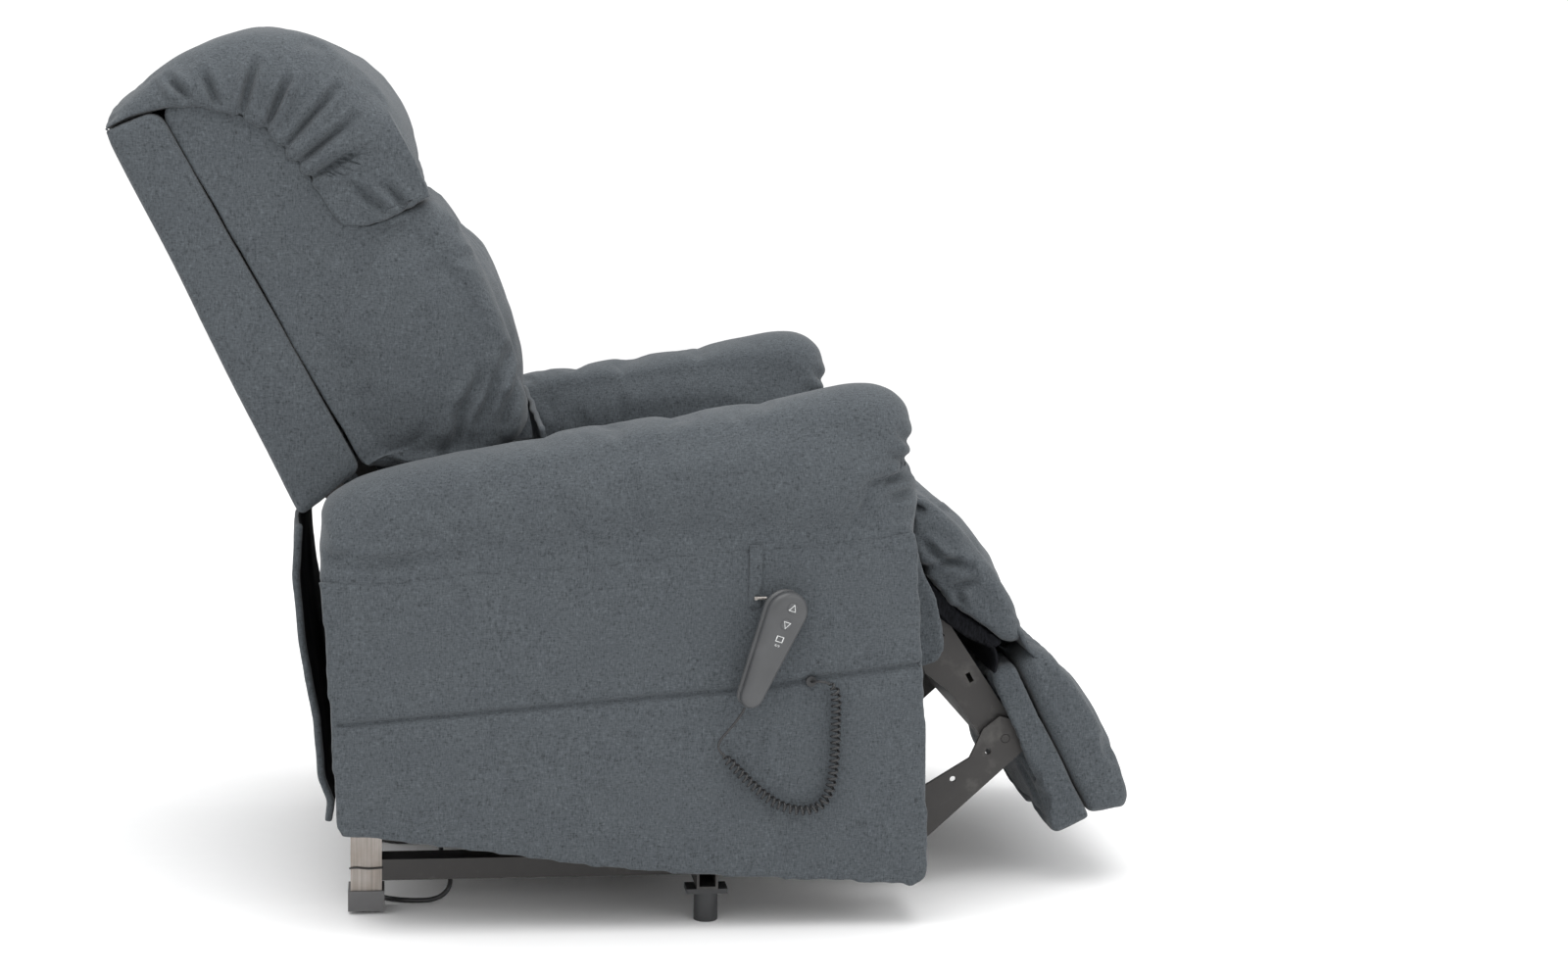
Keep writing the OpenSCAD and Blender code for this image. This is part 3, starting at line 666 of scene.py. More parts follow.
def wire(name, route, diameter, material, slot, sides=4):
    """A round cord along points, as one open curve."""
    data = bpy.data.curves.new(name, "CURVE")
    data.dimensions = "3D"
    data.bevel_depth = diameter / 2
    data.bevel_resolution = sides
    data.use_fill_caps = True
    spline = data.splines.new("POLY")
    spline.points.add(len(route) - 1)
    for point, place in zip(spline.points, route):
        point.co = (*place, 1)
    data.materials.append(material)
    piece = bpy.data.objects.new(name, data)
    SCENE.collection.objects.link(piece)
    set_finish(piece, slot)
    return piece


# ---------------------------------------------------------------- cords

MAINS_D = 6 * MM
MAINS_Z = 3.2 * MM
COIL_AT = (-276 * MM, 45 * MM)
COIL_OUTER = 42 * MM
COIL_INNER = 24 * MM
MAINS_ROUTE = [
    (-232, -212, 62), (-231, -214, 53), (-228, -220, 43), (-224, -229, 34), (-221, -237, 26),
    (-223, -243, 16), (-231, -247, 8), (-243, -249, 4), (-256, -249, 3.2), (-272, -247, 3.2),
    (-288, -241, 3.2), (-302, -230, 3.2), (-312, -214, 3.2), (-317, -192, 3.2), (-318, -160, 3.2),
    (-318, -120, 3.2), (-318, -80, 3.2), (-318, -40, 3.2), (-318, 0, 3.2), (-318, 26, 3.2),
]
PLUG_ROUTE = [
    (-235, 37, 9.3), (-235, 31, 9.2), (-234, 25, 8.2), (-231, 19.5, 6.8), (-226, 15, 5.6),
    (-220, 11.6, 4.6), (-214, 9.8, 4.1), (-207, 9.8, 4.2), (-200, 12, 5.2), (-192, 16, 6.8),
    (-184, 20, 8.2), (-177, 23.6, 9),
]


def metres(route):
    return [tuple(c * MM for c in p) for p in route]


COIL_START, COIL_END = pi, -0.19
COIL_RISE = 6.1 * MM
COIL_STEPS = 40


def coil_turns():
    """Two flat layers of turns, in on the floor and back out on top, five turns in all."""

    def on_coil(r, a, z):
        return COIL_AT[0] + r * cos(a), COIL_AT[1] + r * sin(a), z

    turns_out = 2.43
    route, angle = [], COIL_START
    for turns, r0, r1, climbs in ((2.9, COIL_OUTER, COIL_INNER, 0), (0.2, COIL_INNER, COIL_INNER, 1)):
        steps = int(turns * COIL_STEPS)
        for k in range(steps):
            t = k / steps
            r = r0 + (r1 - r0) * t
            route.append(on_coil(r, angle - 2 * pi * turns * t, MAINS_Z + COIL_RISE * climbs * t))
        angle -= 2 * pi * turns
    left = COIL_START - COIL_END + 2 * pi * 5 - (COIL_START - angle)
    steps = int(left / (2 * pi) * COIL_STEPS)
    for k in range(steps + 1):
        t = k / steps
        r = COIL_INNER + (COIL_OUTER - COIL_INNER) * min(1, t * left / (2 * pi) / turns_out)
        route.append(on_coil(r, angle - left * t, MAINS_Z + COIL_RISE))
    return route


def make_mains_lead():
    route = smooth_line(metres(MAINS_ROUTE), 4) + coil_turns() + smooth_line(metres(PLUG_ROUTE), 3)[1:]
    lead = wire("mains_lead", route, MAINS_D, RUBBER, "cord_rubber")
    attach(lead, "base")
    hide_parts("mains_cord", "mains_coil")


PANEL_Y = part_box("outer_panel_right")[0].y
CURL_D = 12.4 * MM
CURL_WIRE = 3 * MM
CURL_TURNS = 41
CURL_EASE = 0.016
CORD_STUB = [(185, 3, 294), (188, 9, 295), (194, 12, 296), (201, 13, 295)]
CORD_CURL = [
    (201, 13, 295), (208, 13, 291), (212, 13, 280), (213, 12, 262), (213, 11, 240), (213, 11, 218),
    (212, 11, 196), (209, 11, 174), (202, 11, 156), (190, 11, 147), (174, 11, 145), (157, 11, 149),
    (141, 12, 157), (125, 12, 170), (109, 12, 185), (95, 13, 200), (81, 13, 215),
]
CORD_LEAD = [
    (81, 13, 215), (78, 14, 221), (80, 16, 230), (88, 19, 241), (96, 22, 252), (103, 24, 263),
    (106, 24, 269.5),
]


def off_panel(route):
    """Points given as (x, out from the side panel, z), in metres."""
    return [(x * MM, PANEL_Y - out * MM, z * MM) for x, out, z in route]


def helix(centre, radius, turns, steps):
    """A curl around a centreline, which starts and ends on it."""
    centre = [np.array(p) for p in centre]
    ways = [np.linalg.norm(b - a) for a, b in zip(centre, centre[1:])]
    stops = np.concatenate([[0], np.cumsum(ways)])
    total = stops[-1]

    def at(s):
        return np.array([np.interp(s, stops, [p[i] for p in centre]) for i in range(3)])

    side = None
    out = []
    for k in range(steps + 1):
        s = total * k / steps
        place = at(s)
        ahead, behind = at(min(s + 0.002, total)), at(max(s - 0.002, 0))
        way = (ahead - behind) / np.linalg.norm(ahead - behind)
        if side is None:
            side = np.cross(way, (0, 1, 0))
        side = side - way * (side @ way)
        side /= np.linalg.norm(side)
        other = np.cross(way, side)
        near_end = min(1, s / CURL_EASE, (total - s) / CURL_EASE)
        grow = near_end * near_end * (3 - 2 * near_end)
        angle = 2 * pi * turns * k / steps
        out.append(tuple(place + radius * grow * (cos(angle) * side + sin(angle) * other)))
    return out


def make_handset_cord():
    curl = helix(smooth_line(off_panel(CORD_CURL), 6), (CURL_D - CURL_WIRE) / 2, CURL_TURNS, CURL_TURNS * 16)
    route = smooth_line(off_panel(CORD_STUB), 4)[:-1] + curl + smooth_line(off_panel(CORD_LEAD), 4)[1:]
    cord = wire("handset_cord", route, CURL_WIRE, RUBBER, "cord_rubber")
    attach(cord, "chair_frame")
    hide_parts("handset_cord_leads", "handset_cord_curl")


make_mains_lead()
make_handset_cord()

# ---------------------------------------------------------------- arms

SEAM_HIGH = [(-0.367, 0.405), (-0.268, 0.418), (-0.027, 0.439), (0.302, 0.470)]
SEAM_LOW = [(-0.349, 0.248), (-0.025, 0.274), (0.098, 0.284), (0.318, 0.313)]
ARM_LOW, ARM_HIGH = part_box("arm_pad_right")
ARM_IN, ARM_OUT = ARM_HIGH.y, ARM_LOW.y
ARM_MIDDLE = (ARM_IN + ARM_OUT) / 2


def seam_height(x):
    xs, zs = zip(*SEAM_HIGH)
    return np.interp(x, xs, zs)


ARM_ROLL = 0.052
ARM_DEPTH = 0.135
# Past these x, the nose and the tail are drawn in: limit, direction, depth of the roll
ARM_TIPS = ((0.2, 1, 0.125), (-0.27, -1, 0.26))


def roll_arm(piece):
    """Rounds the arm's long edges, its nose and its tail, and leaves its sewn foot straight."""
    co = points(piece)
    inset = end_inset(co, ARM_ROLL, ARM_MIDDLE)
    foot = seam_height(co[:, 0])
    rise = np.clip(co[:, 2] - foot, 0, None)
    co[:, 2] = np.where(co[:, 2] > foot, foot + rise * (1 - inset / ARM_DEPTH), co[:, 2])
    hold = np.clip(rise / 0.05, 0, 1)
    for limit, direction, reach in ARM_TIPS:
        past = np.clip((co[:, 0] - limit) * direction, 0, None)
        co[:, 0] -= direction * past * hold * inset / reach
    move_to(piece, co)


TAIL_FOLDS = [((-0.366, 0.437), (-0.331, 0.443)), ((-0.368, 0.428), (-0.21, 0.444))]
NOSE_FOLDS = [
    ((0.245, 0.524), (0.304, 0.527)), ((0.262, 0.508), (0.309, 0.511)),
    ((0.283, 0.58), (0.3, 0.56)), ((0.272, 0.556), (0.3, 0.543)),
]
FOOT_DROP, FOOT_FADE = 0.009, 0.03


def arm_folds(piece):
    """The gathers under the nose, the tucks at the tail and the pull lines along the seam."""
    side = lambda co: np.clip((ARM_MIDDLE - co[:, 1]) / 0.03, 0, 1)
    creases(piece, TAIL_FOLDS, 0.004, 0.006, side)
    creases(piece, NOSE_FOLDS, 0.0055, 0.006)
    pucker(piece, SEAM_HIGH, 0.0016, 0.022, 0.03, seed=3)
    uneven(piece, 0.13, 0.0032, 5)
    uneven(piece, 0.035, 0.0008, 6)


def make_arm_cushions():
    near = from_nodes("arm_cushion_right", "arm_pad_right")
    remesh(near, 0.0062)
    roll_arm(near)
    smooth(near, 6)
    co = points(near)
    puff(near, co[:, 2] < seam_height(co[:, 0]) + 0.007, pressure=4.5, cap=0.022)
    subdivide(near)
    arm_folds(near)
    co = points(near)
    foot = 1 - np.clip((co[:, 2] - seam_height(co[:, 0])) / FOOT_FADE, 0, 1)
    co[:, 2] -= FOOT_DROP * foot
    move_to(near, co)
    settle_sides(near, "arm_cushion", 0.8, "arm_pad")


def quilt(piece, lines, swell):
    """Swells the outer face of a near side panel between its seams and its edges."""
    co = points(piece)
    nearest = np.full(len(co), 1.0)
    for line in lines:
        gap, _ = along_line(co, line)
        nearest = np.minimum(nearest, gap)
    outer = normals(piece)[:, 1] * NEAR > 0.2
    full = swell * (1 - np.exp(-nearest / 0.022)) * outer
    co[:, 1] += NEAR * full
    move_to(piece, co)


def make_side_panels():
    near = from_nodes("side_panel_right", "outer_panel_right")
    remesh(near, 0.005)
    smooth(near, 5)
    subdivide(near)
    low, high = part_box("outer_panel_right")
    front = [(high.x - 0.006, high.z - 0.02), (0.321, low.z + 0.012)]
    edge = [*front, (0.1, 0.066), (-0.33, 0.116), (-0.363, 0.36)]
    outside = lambda co: np.clip((low.y + 0.009 - co[:, 1]) / 0.004, 0, 1)
    quilt(near, [SEAM_LOW, SEAM_HIGH, edge], 0.003)
    press_line(near, SEAM_LOW, 0.0052, 0.0032, outside)
    pucker(near, SEAM_LOW, 0.0013, 0.024, 0.034, outside, seed=8)
    pucker(near, SEAM_HIGH, 0.0012, 0.02, 0.03, outside, seed=9)
    pucker(near, edge, 0.0011, 0.02, 0.028, outside, seed=10)
    uneven(near, 0.16, 0.0022, 11)
    settle_sides(near, "side_panel", 0.5, "outer_panel")


def make_arm_linings():
    near = from_nodes("arm_lining_right", "inner_panel_right")
    remesh(near, 0.007)
    smooth(near, 3)
    uneven(near, 0.12, 0.0015, 12)
    settle_sides(near, "arm_lining", 0.4, "inner_panel")
    ends = from_nodes("arm_end_panels", "arm_front_panels")
    remesh(ends, 0.0055)
    smooth(ends, 4)
    uneven(ends, 0.09, 0.0018, 13)
    subdivide(ends)
    settle(ends, 0.4, "chair_frame", "arm_front_panels")


make_arm_cushions()
make_side_panels()
make_arm_linings()

# ---------------------------------------------------------------- back

BACK_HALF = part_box("back_sides")[1].y
PILLOW_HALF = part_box("head_pillow")[1].y
LUMBAR_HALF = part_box("lumbar_cushion")[1].y


def back_points(pairs):
    """Side-view points from (up, out) pairs in millimetres."""
    return [from_back(out * MM, up * MM) for up, out in pairs]


def back_lines(*pairs):
    return [back_points(pair) for pair in pairs]


PLEATS = back_lines(
    [(612, 26), (584, 36)], [(602, 64), (566, 62)], [(588, 122), (541, 80)], [(556, 146), (515, 97)],
    [(524, 192), (487, 105)], [(486, 196), (466, 112)], [(450, 186), (445, 118)], [(418, 158), (378, 176)],
    [(404, 190), (374, 200)],
)
CORNER_TUCKS = back_lines(
    [(168, 236), (112, 168)], [(150, 246), (96, 196)], [(136, 160), (84, 120)], [(122, 206), (70, 178)],
    [(108, 120), (70, 100)], [(160, 200), (128, 150)],
)
SHELL_OUTLINE = [(102, -65), (113, -14), (122, 21), (250, 16), (470, 6), (575, 0), (586, -8), (589, -62)]


def make_back_shell():
    shell = extruded("back_shell", back_points(SHELL_OUTLINE), BACK_HALF, CLOTH, "upholstery")
    remesh(shell, 0.006)
    smooth(shell, 9)
    co = points(shell)
    out, up = to_back(co)
    rear = normals(shell)[:, 0] * -cos(BACK_LEAN) - normals(shell)[:, 2] * sin(BACK_LEAN) > 0.5
    edge = np.minimum(BACK_HALF - np.abs(co[:, 1]), np.minimum(up - 0.105, 0.585 - up))
    swell = 0.007 * (1 - np.exp(-np.clip(edge, 0, 1) / 0.06)) * rear
    groove = 0.0035 * np.exp(-(((edge - 0.022) / 0.003) ** 2)) * rear
    shift = swell - groove
    co[:, 0] -= cos(BACK_LEAN) * shift
    co[:, 2] -= sin(BACK_LEAN) * shift
    move_to(shell, co)
    rear_edge = back_points([(110, -63), (586, -63)])
    pucker(shell, rear_edge, 0.0011, 0.016, 0.03, on_ends(BACK_HALF, 0.02), seed=14)
    uneven(shell, 0.15, 0.002, 15)
    settle(shell, 0.5, "backrest", "back_panel", "back_sides")


# Outlines of the two back cushions, which meet along the arc seam, as (up, out) in millimetres
ARC = [(588, -62), (589, -30), (584, 4), (573, 38), (544, 74), (515, 97), (450, 116), (383, 123), (366, 150)]
CREASE_FRONT = (366, 232)
HEAD_OUTLINE = [
    (384, 236), (420, 238), (460, 240), (509, 234), (540, 223), (565, 209), (592, 183), (610, 160),
    (624, 128), (632, 100), (636, 70), (636, 40), (631, 5), (622, -25), (611, -50), (600, -64), (592, -67),
]
LUMBAR_FRONT = [
    (340, 246), (300, 252), (250, 254), (200, 250), (160, 242), (128, 236), (102, 230), (84, 222),
    (72, 208), (66, 186), (72, 150), (88, 90), (110, 42), (126, 24),
]


def make_head_pillow():
    """The gathered top of the back, which rolls over its ends down to the arc seam."""
    outline = back_points([*ARC, CREASE_FRONT, *HEAD_OUTLINE])
    pillow = extruded("head_cushion", outline, PILLOW_HALF + 0.004, CLOTH, "upholstery")
    remesh(pillow, 0.006)
    arc = back_points([*ARC, CREASE_FRONT])
    roll_to_line(pillow, arc, 0.062)
    smooth(pillow, 7)
    co = points(pillow)
    gap, _ = along_line(co, arc)
    out, up = to_back(co)
    ends = np.abs(co[:, 1]) > PILLOW_HALF - 0.02
    inner = (gap < 0.008) & (ends | (out < 0.2))
    puff(pillow, inner | (up < 0.374) & (out < 0.215), pressure=5.0, cap=0.024, slack=-0.05, proud=0.001)
    subdivide(pillow)
    press_line(pillow, arc, 0.002, 0.005, on_ends(PILLOW_HALF, 0.03))
    creases(pillow, PLEATS, 0.009, 0.0048, on_ends(PILLOW_HALF - 0.02, 0.07))
    uneven(pillow, 0.12, 0.003, 16)
    uneven(pillow, 0.04, 0.0011, 17)
    settle(pillow, 0.7, "backrest", "head_pillow")


def make_lumbar_cushion():
    """The lower back, whose flat sides run up to the arc seam."""
    rear = [(250, 17), (470, 7), (576, 1)]
    under_pillow = [(up + 4, out + 4) for up, out in ARC[2:]]
    outline = back_points([*rear, *under_pillow, CREASE_FRONT, *LUMBAR_FRONT])
    cushion = extruded("lumbar_cushion_cover", outline, PILLOW_HALF, CLOTH, "upholstery")
    remesh(cushion, 0.0065)
    roll_to_line(cushion, back_points([(122, 24), *rear, *under_pillow]), 0.045)
    smooth(cushion, 6)
    co = points(cushion)
    out, up = to_back(co)
    gap, _ = along_line(co, back_points([*rear, *under_pillow, CREASE_FRONT]))
    pinned = (out < 0.03) | (gap < 0.008)
    puff(cushion, pinned, pressure=5.0, cap=0.024, slack=-0.045, proud=0.001)
    subdivide(cushion)
    gathers = back_points([(172, 123), (137, 194), (115, 236)])
    side = on_ends(LUMBAR_HALF - 0.01, 0.06)
    creases(cushion, CORNER_TUCKS, 0.006, 0.0065, side)
    pucker(cushion, gathers, 0.0018, 0.03, 0.022, side, seed=18)
    uneven(cushion, 0.14, 0.003, 19)
    uneven(cushion, 0.04, 0.001, 20)
    settle(cushion, 0.75, "backrest", "lumbar_cushion")


def make_rear_flap():
    """Cloth that hangs from the foot of the back, faced with black lining inside."""
    flap = from_nodes("rear_cloth_flap", "rear_flap")
    remesh(flap, 0.0035)
    smooth(flap, 2)
    co = points(flap)
    sway = ripple(co * np.array((0.4, 1, 0.7)), 0.07, 21) * 0.0035
    sway += ripple(co, 0.03, 22) * 0.0008
    co[:, 0] += sway
    move_to(flap, co)
    flap.data.materials.append(LINING)
    hem = BACK_HALF - 0.014
    for face in flap.data.polygons:
        inside = face.normal.x > 0.3 and abs(face.center.y) < hem
        face.material_index = 1 if inside else 0
        face.use_smooth = True
    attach(flap, "rear_flap_body")
    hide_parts("rear_flap")


make_back_shell()
make_head_pillow()
make_lumbar_cushion()
make_rear_flap()

# ---------------------------------------------------------------- seat and leg rest

PAD_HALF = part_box("calf_pad")[1].y


def make_pad(name, nodes, body, anchor, pinned, size=0.006, radius=0.03, fill=0.7, seed=30):
    pad = from_nodes(name, *nodes)
    remesh(pad, size)
    round_ends(pad, radius, anchor, 0.16)
    smooth(pad, 6)
    puff(pad, pinned(points(pad)), pressure=4.5, cap=0.02)
    subdivide(pad)
    uneven(pad, 0.13, 0.003, seed)
    uneven(pad, 0.04, 0.0009, seed + 1)
    settle(pad, fill, body, *nodes)
    return pad


CALF_TUCKS = [
    ((0.339, 0.399), (0.38, 0.407)), ((0.369, 0.374), (0.404, 0.382)), ((0.339, 0.43), (0.361, 0.411)),
    ((0.346, 0.416), (0.397, 0.399)), ((0.381, 0.368), (0.391, 0.354)),
]


def make_seat_and_leg_rest():
    seat_low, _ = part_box("seat_cushion")
    make_pad(
        "seat_cushion_cover", ["seat_cushion"], "chair_frame", (0.0, seat_low.z + 0.02),
        lambda co: co[:, 2] < seat_low.z + 0.012, size=0.0085, seed=31,
    )
    calf = make_pad(
        "calf_cushion", ["calf_pad", "calf_board"], "calf_rest", (0.36, 0.38),
        lambda co: along_line(co, [(0.323, 0.438), (0.353, 0.381), (0.414, 0.328), (0.46, 0.301)])[0] < 0.016,
        seed=33,
    )
    creases(calf, CALF_TUCKS, 0.006, 0.0048, on_ends(PAD_HALF - 0.02, 0.06))
    make_pad(
        "foot_cushion_cover", ["foot_cushion", "foot_board"], "foot_rest", (0.525, 0.19),
        lambda co: along_line(co, [(0.466, 0.284), (0.5675, 0.087)])[0] < 0.013,
        seed=35,
    )
    make_pad(
        "foot_boxing_cover", ["foot_boxing"], "foot_rest", (0.49, 0.18),
        lambda co: along_line(co, [(0.459, 0.279), (0.561, 0.084)])[0] < 0.006,
        radius=0.014, fill=0.5, seed=37,
    )


LINING_OUTLINE = [
    (0.323, 0.437), (0.331, 0.415), (0.353, 0.379), (0.383, 0.348), (0.415, 0.326), (0.445, 0.304),
    (0.431, 0.297), (0.402, 0.309), (0.369, 0.331), (0.337, 0.365), (0.314, 0.404), (0.306, 0.431),
]
GUSSET_OUTLINE = [
    (0.290, 0.455), (0.318, 0.452), (0.331, 0.424), (0.341, 0.390), (0.354, 0.364), (0.363, 0.330),
    (0.365, 0.303), (0.358, 0.288), (0.338, 0.281), (0.300, 0.283), (0.286, 0.36),
]
GUSSET_Y, GUSSET_HALF = 0.2545, 0.004
LINING_HALF = 0.230
FOLD_HALF = 0.232


def make_bridges():
    """Cloth and lining that close the gaps at the soft hinges, the seat front and the rear opening."""
    knee = ribbon(
        "seat_front_apron",
        [(0.236, 0.483), (0.262, 0.494), (0.292, 0.494), (0.322, 0.487), (0.346, 0.474)],
        -PAD_HALF + 0.004, PAD_HALF - 0.004, 0.006, CLOTH, "upholstery", waves=0.004,
    )
    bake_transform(knee)
    fold = ribbon(
        "foot_hinge_apron",
        [(0.452, 0.333), (0.466, 0.318), (0.474, 0.303), (0.484, 0.291), (0.498, 0.283)],
        -PAD_HALF + 0.008, PAD_HALF - 0.008, 0.005, CLOTH, "upholstery", waves=0.002,
    )
    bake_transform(fold)
    lining = extruded("leg_rest_lining", LINING_OUTLINE, LINING_HALF, LINING, "black_lining")
    remesh(lining, 0.005)
    uneven(lining, 0.05, 0.0015, 41)
    settle(lining, 0.2, "calf_rest")
    fold_line = ribbon(
        "foot_hinge_lining", [(0.420, 0.307), (0.432, 0.298), (0.436, 0.284), (0.434, 0.268)],
        -FOLD_HALF, FOLD_HALF, 0.003, LINING, "black_lining", waves=0.003,
    )
    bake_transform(fold_line)
    tail = ribbon(
        "rear_opening_lining", [(-0.322, 0.375), (-0.326, 0.32), (-0.327, 0.22), (-0.327, 0.14)],
        -0.25, 0.25, 0.003, LINING, "black_lining", waves=0.006,
    )
    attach(tail, "chair_frame")
    for side in (NEAR, FAR):
        gusset = extruded(
            f"seat_front_gusset_{SIDE_NAMES[side]}", GUSSET_OUTLINE, side * GUSSET_Y + GUSSET_HALF,
            CLOTH, "upholstery", y_low=side * GUSSET_Y - GUSSET_HALF,
        )
        remesh(gusset, 0.0035)
        smooth(gusset, 3)
        uneven(gusset, 0.05, 0.0025, 43)
        settle(gusset, 0.2, "chair_frame")
    lap = ribbon(
        "back_apron",
        [from_back(0.232, 0.07), from_back(0.226, 0.04), from_back(0.216, 0.008), from_back(0.2, -0.022)],
        -LUMBAR_HALF + 0.02, LUMBAR_HALF - 0.02, 0.006, CLOTH, "upholstery", waves=0.004,
    )
    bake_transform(lap)


make_seat_and_leg_rest()
make_bridges()

# ---------------------------------------------------------------- handset

HANDSET_AT = Vector((0.133, PANEL_Y - 0.024, 0.337))
HANDSET_TURN = Matrix.Rotation(radians(21.6), 4, "Y") @ Matrix.Rotation(radians(20), 4, "Z")
HANDSET_PLACE = Matrix.Translation(HANDSET_AT) @ HANDSET_TURN
HANDSET_HALF = 0.012
HEAD_R, TAIL_R = 0.025, 0.014
HEAD_UP, TAIL_UP = 0.046, -0.057
EDGE_R = 0.0075
KEY_PROFILE = [
    (0.0002, -0.0021), (0.0022, -0.0020), (0.0042, -0.0017), (0.0056, -0.0011), (0.0062, -0.0003),
    (0.0063, 0.0008), (0.0063, 0.0035),
]
ARROW_SIZE = 0.0049
PRINT_DEPTH = 0.00025
FACE_Y = -0.0122
MARK_FRAME = [(-0.0048, 0.0195), (0.0048, 0.0195), (0.0048, 0.0125), (-0.0048, 0.0125)]
MARK_BAR = [(-0.003, 0.0092), (0.003, 0.0092), (0.003, 0.0072), (-0.003, 0.0072)]


def handset_ring(inset, y, count=72):
    """A ring of the handset's outline, drawn in by inset, at depth y."""
    ring = []
    for k in range(count):
        a = 2 * pi * k / count
        upper = sin(a) >= 0
        r = (HEAD_R if upper else TAIL_R) - inset
        centre = HEAD_UP if upper else TAIL_UP
        ring.append((r * cos(a), y, centre + r * sin(a)))
    return ring


def placed(vertices):
    return [HANDSET_PLACE @ Vector(v) for v in vertices]


def loft(name, rings, material, slot):
    """Closed skin over rings of the same count."""
    count = len(rings[0])
    vertices = [v for ring in rings for v in ring]
    faces = [tuple(range(count))]
    for i in range(len(rings) - 1):
        for k in range(count):
            nxt = (k + 1) % count
            faces.append((i * count + k, (i + 1) * count + k, (i + 1) * count + nxt, i * count + nxt))
    last = (len(rings) - 1) * count
    faces.append(tuple(last + k for k in range(count - 1, -1, -1)))
    piece = add_mesh(name, placed(vertices), faces, material, slot)
    face_outward(piece)
    return piece


def make_handset_case():
    """Two moulded halves with soft edges, a nearly flat front and a parting groove."""
    crown = [(0.0135, -0.0121), (0.0125, -0.01208), (0.0105, -0.01206), (0.0085, -0.01203)]
    rings = [handset_ring(inset, y) for inset, y in crown]
    for k in range(8):
        a = pi / 2 * k / 7
        rings.append(handset_ring(EDGE_R * (1 - sin(a)), -HANDSET_HALF + EDGE_R * (1 - cos(a)) * 0.9))
    groove = [(0.0, -0.0026), (0.0013, -0.002), (0.0018, 0.0006), (0.0013, 0.0032), (0.0, 0.0038)]
    rings += [handset_ring(inset, y) for inset, y in groove]
    for k in range(8):
        a = pi / 2 * (1 - k / 7)
        rings.append(handset_ring(EDGE_R * (1 - sin(a)), HANDSET_HALF - EDGE_R * (1 - cos(a)) * 0.9))
    rings += [handset_ring(0.0105, 0.0119), handset_ring(0.0135, 0.012)]
    case = loft("handset_case", rings, HANDSET_PLASTIC, "dark_plastic")
    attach(case, "handset")
    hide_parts("handset_shell")


def ring_at(x, z, r, y, count=40):
    return [(x + r * cos(2 * pi * k / count), y, z + r * sin(2 * pi * k / count)) for k in range(count)]


def make_key(name, node, body, up, pointing):
    """A domed key with a printed arrow on top."""
    front = -HANDSET_HALF
    key = loft(name, [ring_at(0, up, r, front + y) for r, y in KEY_PROFILE], KEY_PLASTIC, "button_grey")
    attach(key, body)
    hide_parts(node)
    base = up - pointing * ARROW_SIZE * 0.7
    corners = [(0, up + pointing * ARROW_SIZE), (-ARROW_SIZE, base), (ARROW_SIZE, base)]
    outline_print(f"{name}_arrow", corners, front - 0.00195, body)


def outline_print(name, corners, y, body, width=0.0009):
    """A raised printed outline on the handset's face."""
    middle = np.mean(corners, axis=0)
    inner = []
    for corner in corners:
        away = np.array(corner) - middle
        away *= 1 - width * 1.6 / np.linalg.norm(away)
        inner.append(middle + away)
    layers = (-PRINT_DEPTH, PRINT_DEPTH * 3)
    vertices = [(x, y + dy, z) for outline in (corners, inner) for dy in layers for x, z in outline]
    count = len(corners)
    faces = []
    for k in range(count):
        outer_top, outer_low, inner_top, inner_low = (k + count * row for row in range(4))
        step = (k + 1) % count - k
        faces.append((outer_top, outer_top + step, inner_top + step, inner_top))
        faces.append((outer_top, outer_low, outer_low + step, outer_top + step))
        faces.append((inner_top, inner_top + step, inner_low + step, inner_low))
        faces.append((outer_low, inner_low, inner_low + step, outer_low + step))
    mark = add_mesh(name, placed(vertices), faces, PRINT, "button_grey", smooth=False)
    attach(mark, body)


def make_handset():
    make_handset_case()
    make_key("up_key", "button_up", "up_button", 0.054, 1)
    make_key("down_key", "button_down", "down_button", 0.034, -1)
    outline_print("handset_mark_frame", MARK_FRAME, FACE_Y, "handset")
    outline_print("handset_mark_bar", MARK_BAR, FACE_Y, "handset", 0.0006)
    strap = from_nodes("handset_strap_loop", "handset_strap")
    remesh(strap, 0.0012)
    smooth(strap, 2)
    co = points(strap)
    co[:, 1] += ripple(co, 0.02, 51) * 0.0008 - 0.0022
    move_to(strap, co)
    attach(strap, "chair_frame")
    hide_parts("handset_strap")


make_handset()

# ---------------------------------------------------------------- base details


def lathe(name, place, axis, profile, material, slot, body, count=28):
    """A turned piece: profile holds (radius, distance along the axis)."""
    turn = Vector((0, 0, 1)).rotation_difference(Vector(axis)).to_matrix()
    vertices = []
    for r, h in profile:
        for k in range(count):
            a = 2 * pi * k / count
            vertices.append(Vector(place) + turn @ Vector((r * cos(a), r * sin(a), h)))
    faces = [tuple(range(count - 1, -1, -1))]
    for i in range(len(profile) - 1):
        for k in range(count):
            nxt = (k + 1) % count
            faces.append((i * count + k, i * count + nxt, (i + 1) * count + nxt, (i + 1) * count + k))
    last = (len(profile) - 1) * count
    faces.append(tuple(last + k for k in range(count)))
    piece = add_mesh(name, vertices, faces, material, slot)
    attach(piece, body)
    return piece


SCREW = [
    (0.0042, -0.001), (0.0042, 0.0006), (0.0036, 0.0018),
    (0.0022, 0.0024), (0.0018, 0.0012), (0.0004, 0.0011),
]
NUT = [
    (0.0085, -0.001), (0.0085, 0.0018), (0.0066, 0.0019),
    (0.0064, 0.0052), (0.0052, 0.0062), (0.0008, 0.0063),
]
POST_SCREWS = ((-0.327, 0.106), (-0.310, 0.098))
# The wire tie round each rear post, as (x, out from the post, z)
TIE_ROUTE = (
    (-0.3385, 0.0012, 0.0555), (-0.330, 0.0014, 0.0562), (-0.316, 0.0014, 0.0548), (-0.3, 0.0012, 0.0556),
)
TIE_D = 0.0022


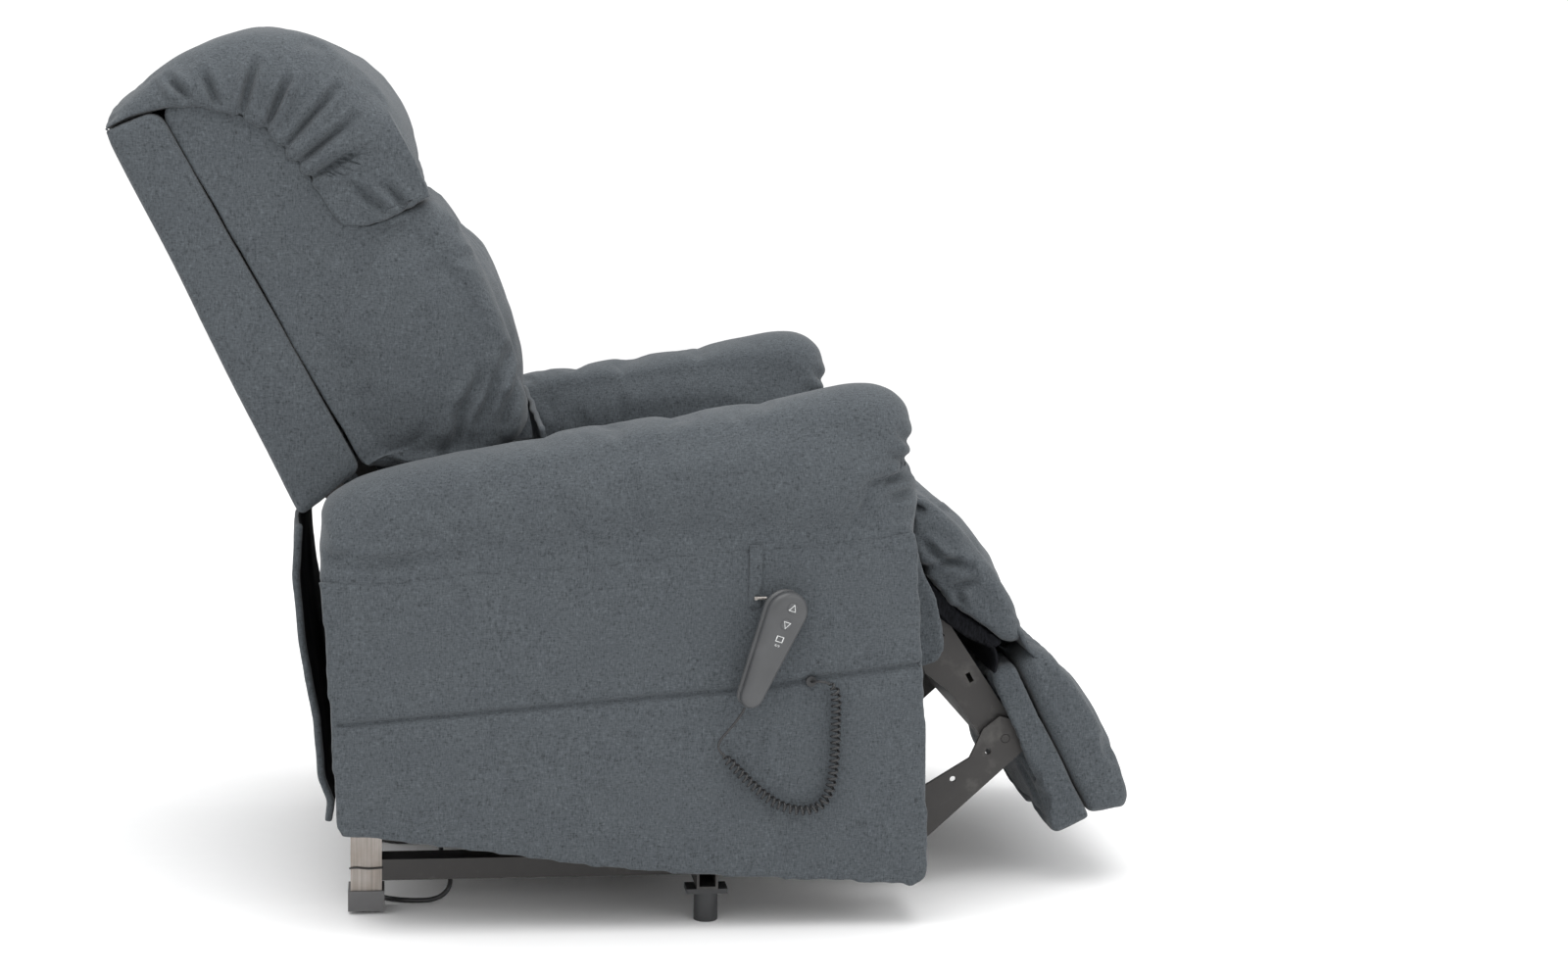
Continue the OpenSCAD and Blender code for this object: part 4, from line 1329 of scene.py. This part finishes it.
def make_nut(name, joint, half, side, body):
    """The nut on the end of a joint's pin."""
    x, _, z = JOINTS[joint]["pos_m"]
    lathe(name, (x, side * half, z), (0, side, 0), NUT, BARE_STEEL, "bare_steel", body)


def make_fasteners():
    post_half = abs(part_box("rear_posts")[0].y)
    lug_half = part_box("base_lugs")[1].y
    plate_half = abs(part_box("side_plate_left")[1].y)
    for side in (NEAR, FAR):
        name = SIDE_NAMES[side]
        face = side * post_half
        for number, (x, z) in enumerate(POST_SCREWS):
            place, axis = (x, face, z), (0, side, 0)
            lathe(f"post_screw_{name}_{number}", place, axis, SCREW, DARK_STEEL, "dark_steel", "base")
        route = smooth_line([(x, face + side * out, z) for x, out, z in TIE_ROUTE], 4)
        tie = wire(f"post_tie_{name}", route, TIE_D, DARK_STEEL, "dark_steel")
        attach(tie, "base")
        for number, joint in enumerate(("lift", "front_arm_turn")):
            make_nut(f"lug_nut_{name}_{number}", joint, lug_half, side, "base")
        make_nut(f"plate_nut_{name}_0", "swing_arm_turn", plate_half, side, "chair_frame")


make_fasteners()

# ---------------------------------------------------------------- floor and light


FLOOR_HALF = 9
FLOOR_SHADES = [(0.3, (0.955, 0.955, 0.957)), (0.7, (0.965, 0.965, 0.965))]
WORLD_STRENGTH = 1.06
LIGHTS_AIM = Vector((0, 0, 0.4))
# Name, place, size in metres, power in watts
LIGHTS = (("top_light", (-0.2, -0.6, 3.2), 3.0, 74), ("front_light", (2.6, -1.8, 1.6), 1.8, 13))


def make_stage():
    paint = Paint("pale_floor", roughness=0.7, specular=0.2)
    paint.colour(paint.ramp(paint.noise(40, detail=2), FLOOR_SHADES))
    corners = [(x * FLOOR_HALF, y * FLOOR_HALF, 0) for x, y in ((-1, -1), (1, -1), (1, 1), (-1, 1))]
    floor = add_mesh("floor", corners, [(0, 1, 2, 3)], paint.material, "upholstery", smooth=False)
    world = bpy.data.worlds.new("studio")
    world.use_nodes = True
    background = world.node_tree.nodes["Background"]
    background.inputs["Color"].default_value = (1, 1, 1, 1)
    background.inputs["Strength"].default_value = WORLD_STRENGTH
    SCENE.world = world
    for name, place, size, power in LIGHTS:
        data = bpy.data.lights.new(name, "AREA")
        data.size = size
        data.energy = power
        light = bpy.data.objects.new(name, data)
        SCENE.collection.objects.link(light)
        light.location = place
        light.rotation_euler = (LIGHTS_AIM - Vector(place)).to_track_quat("-Z", "Y").to_euler()
    SCENE.view_settings.view_transform = "Standard"


make_stage()
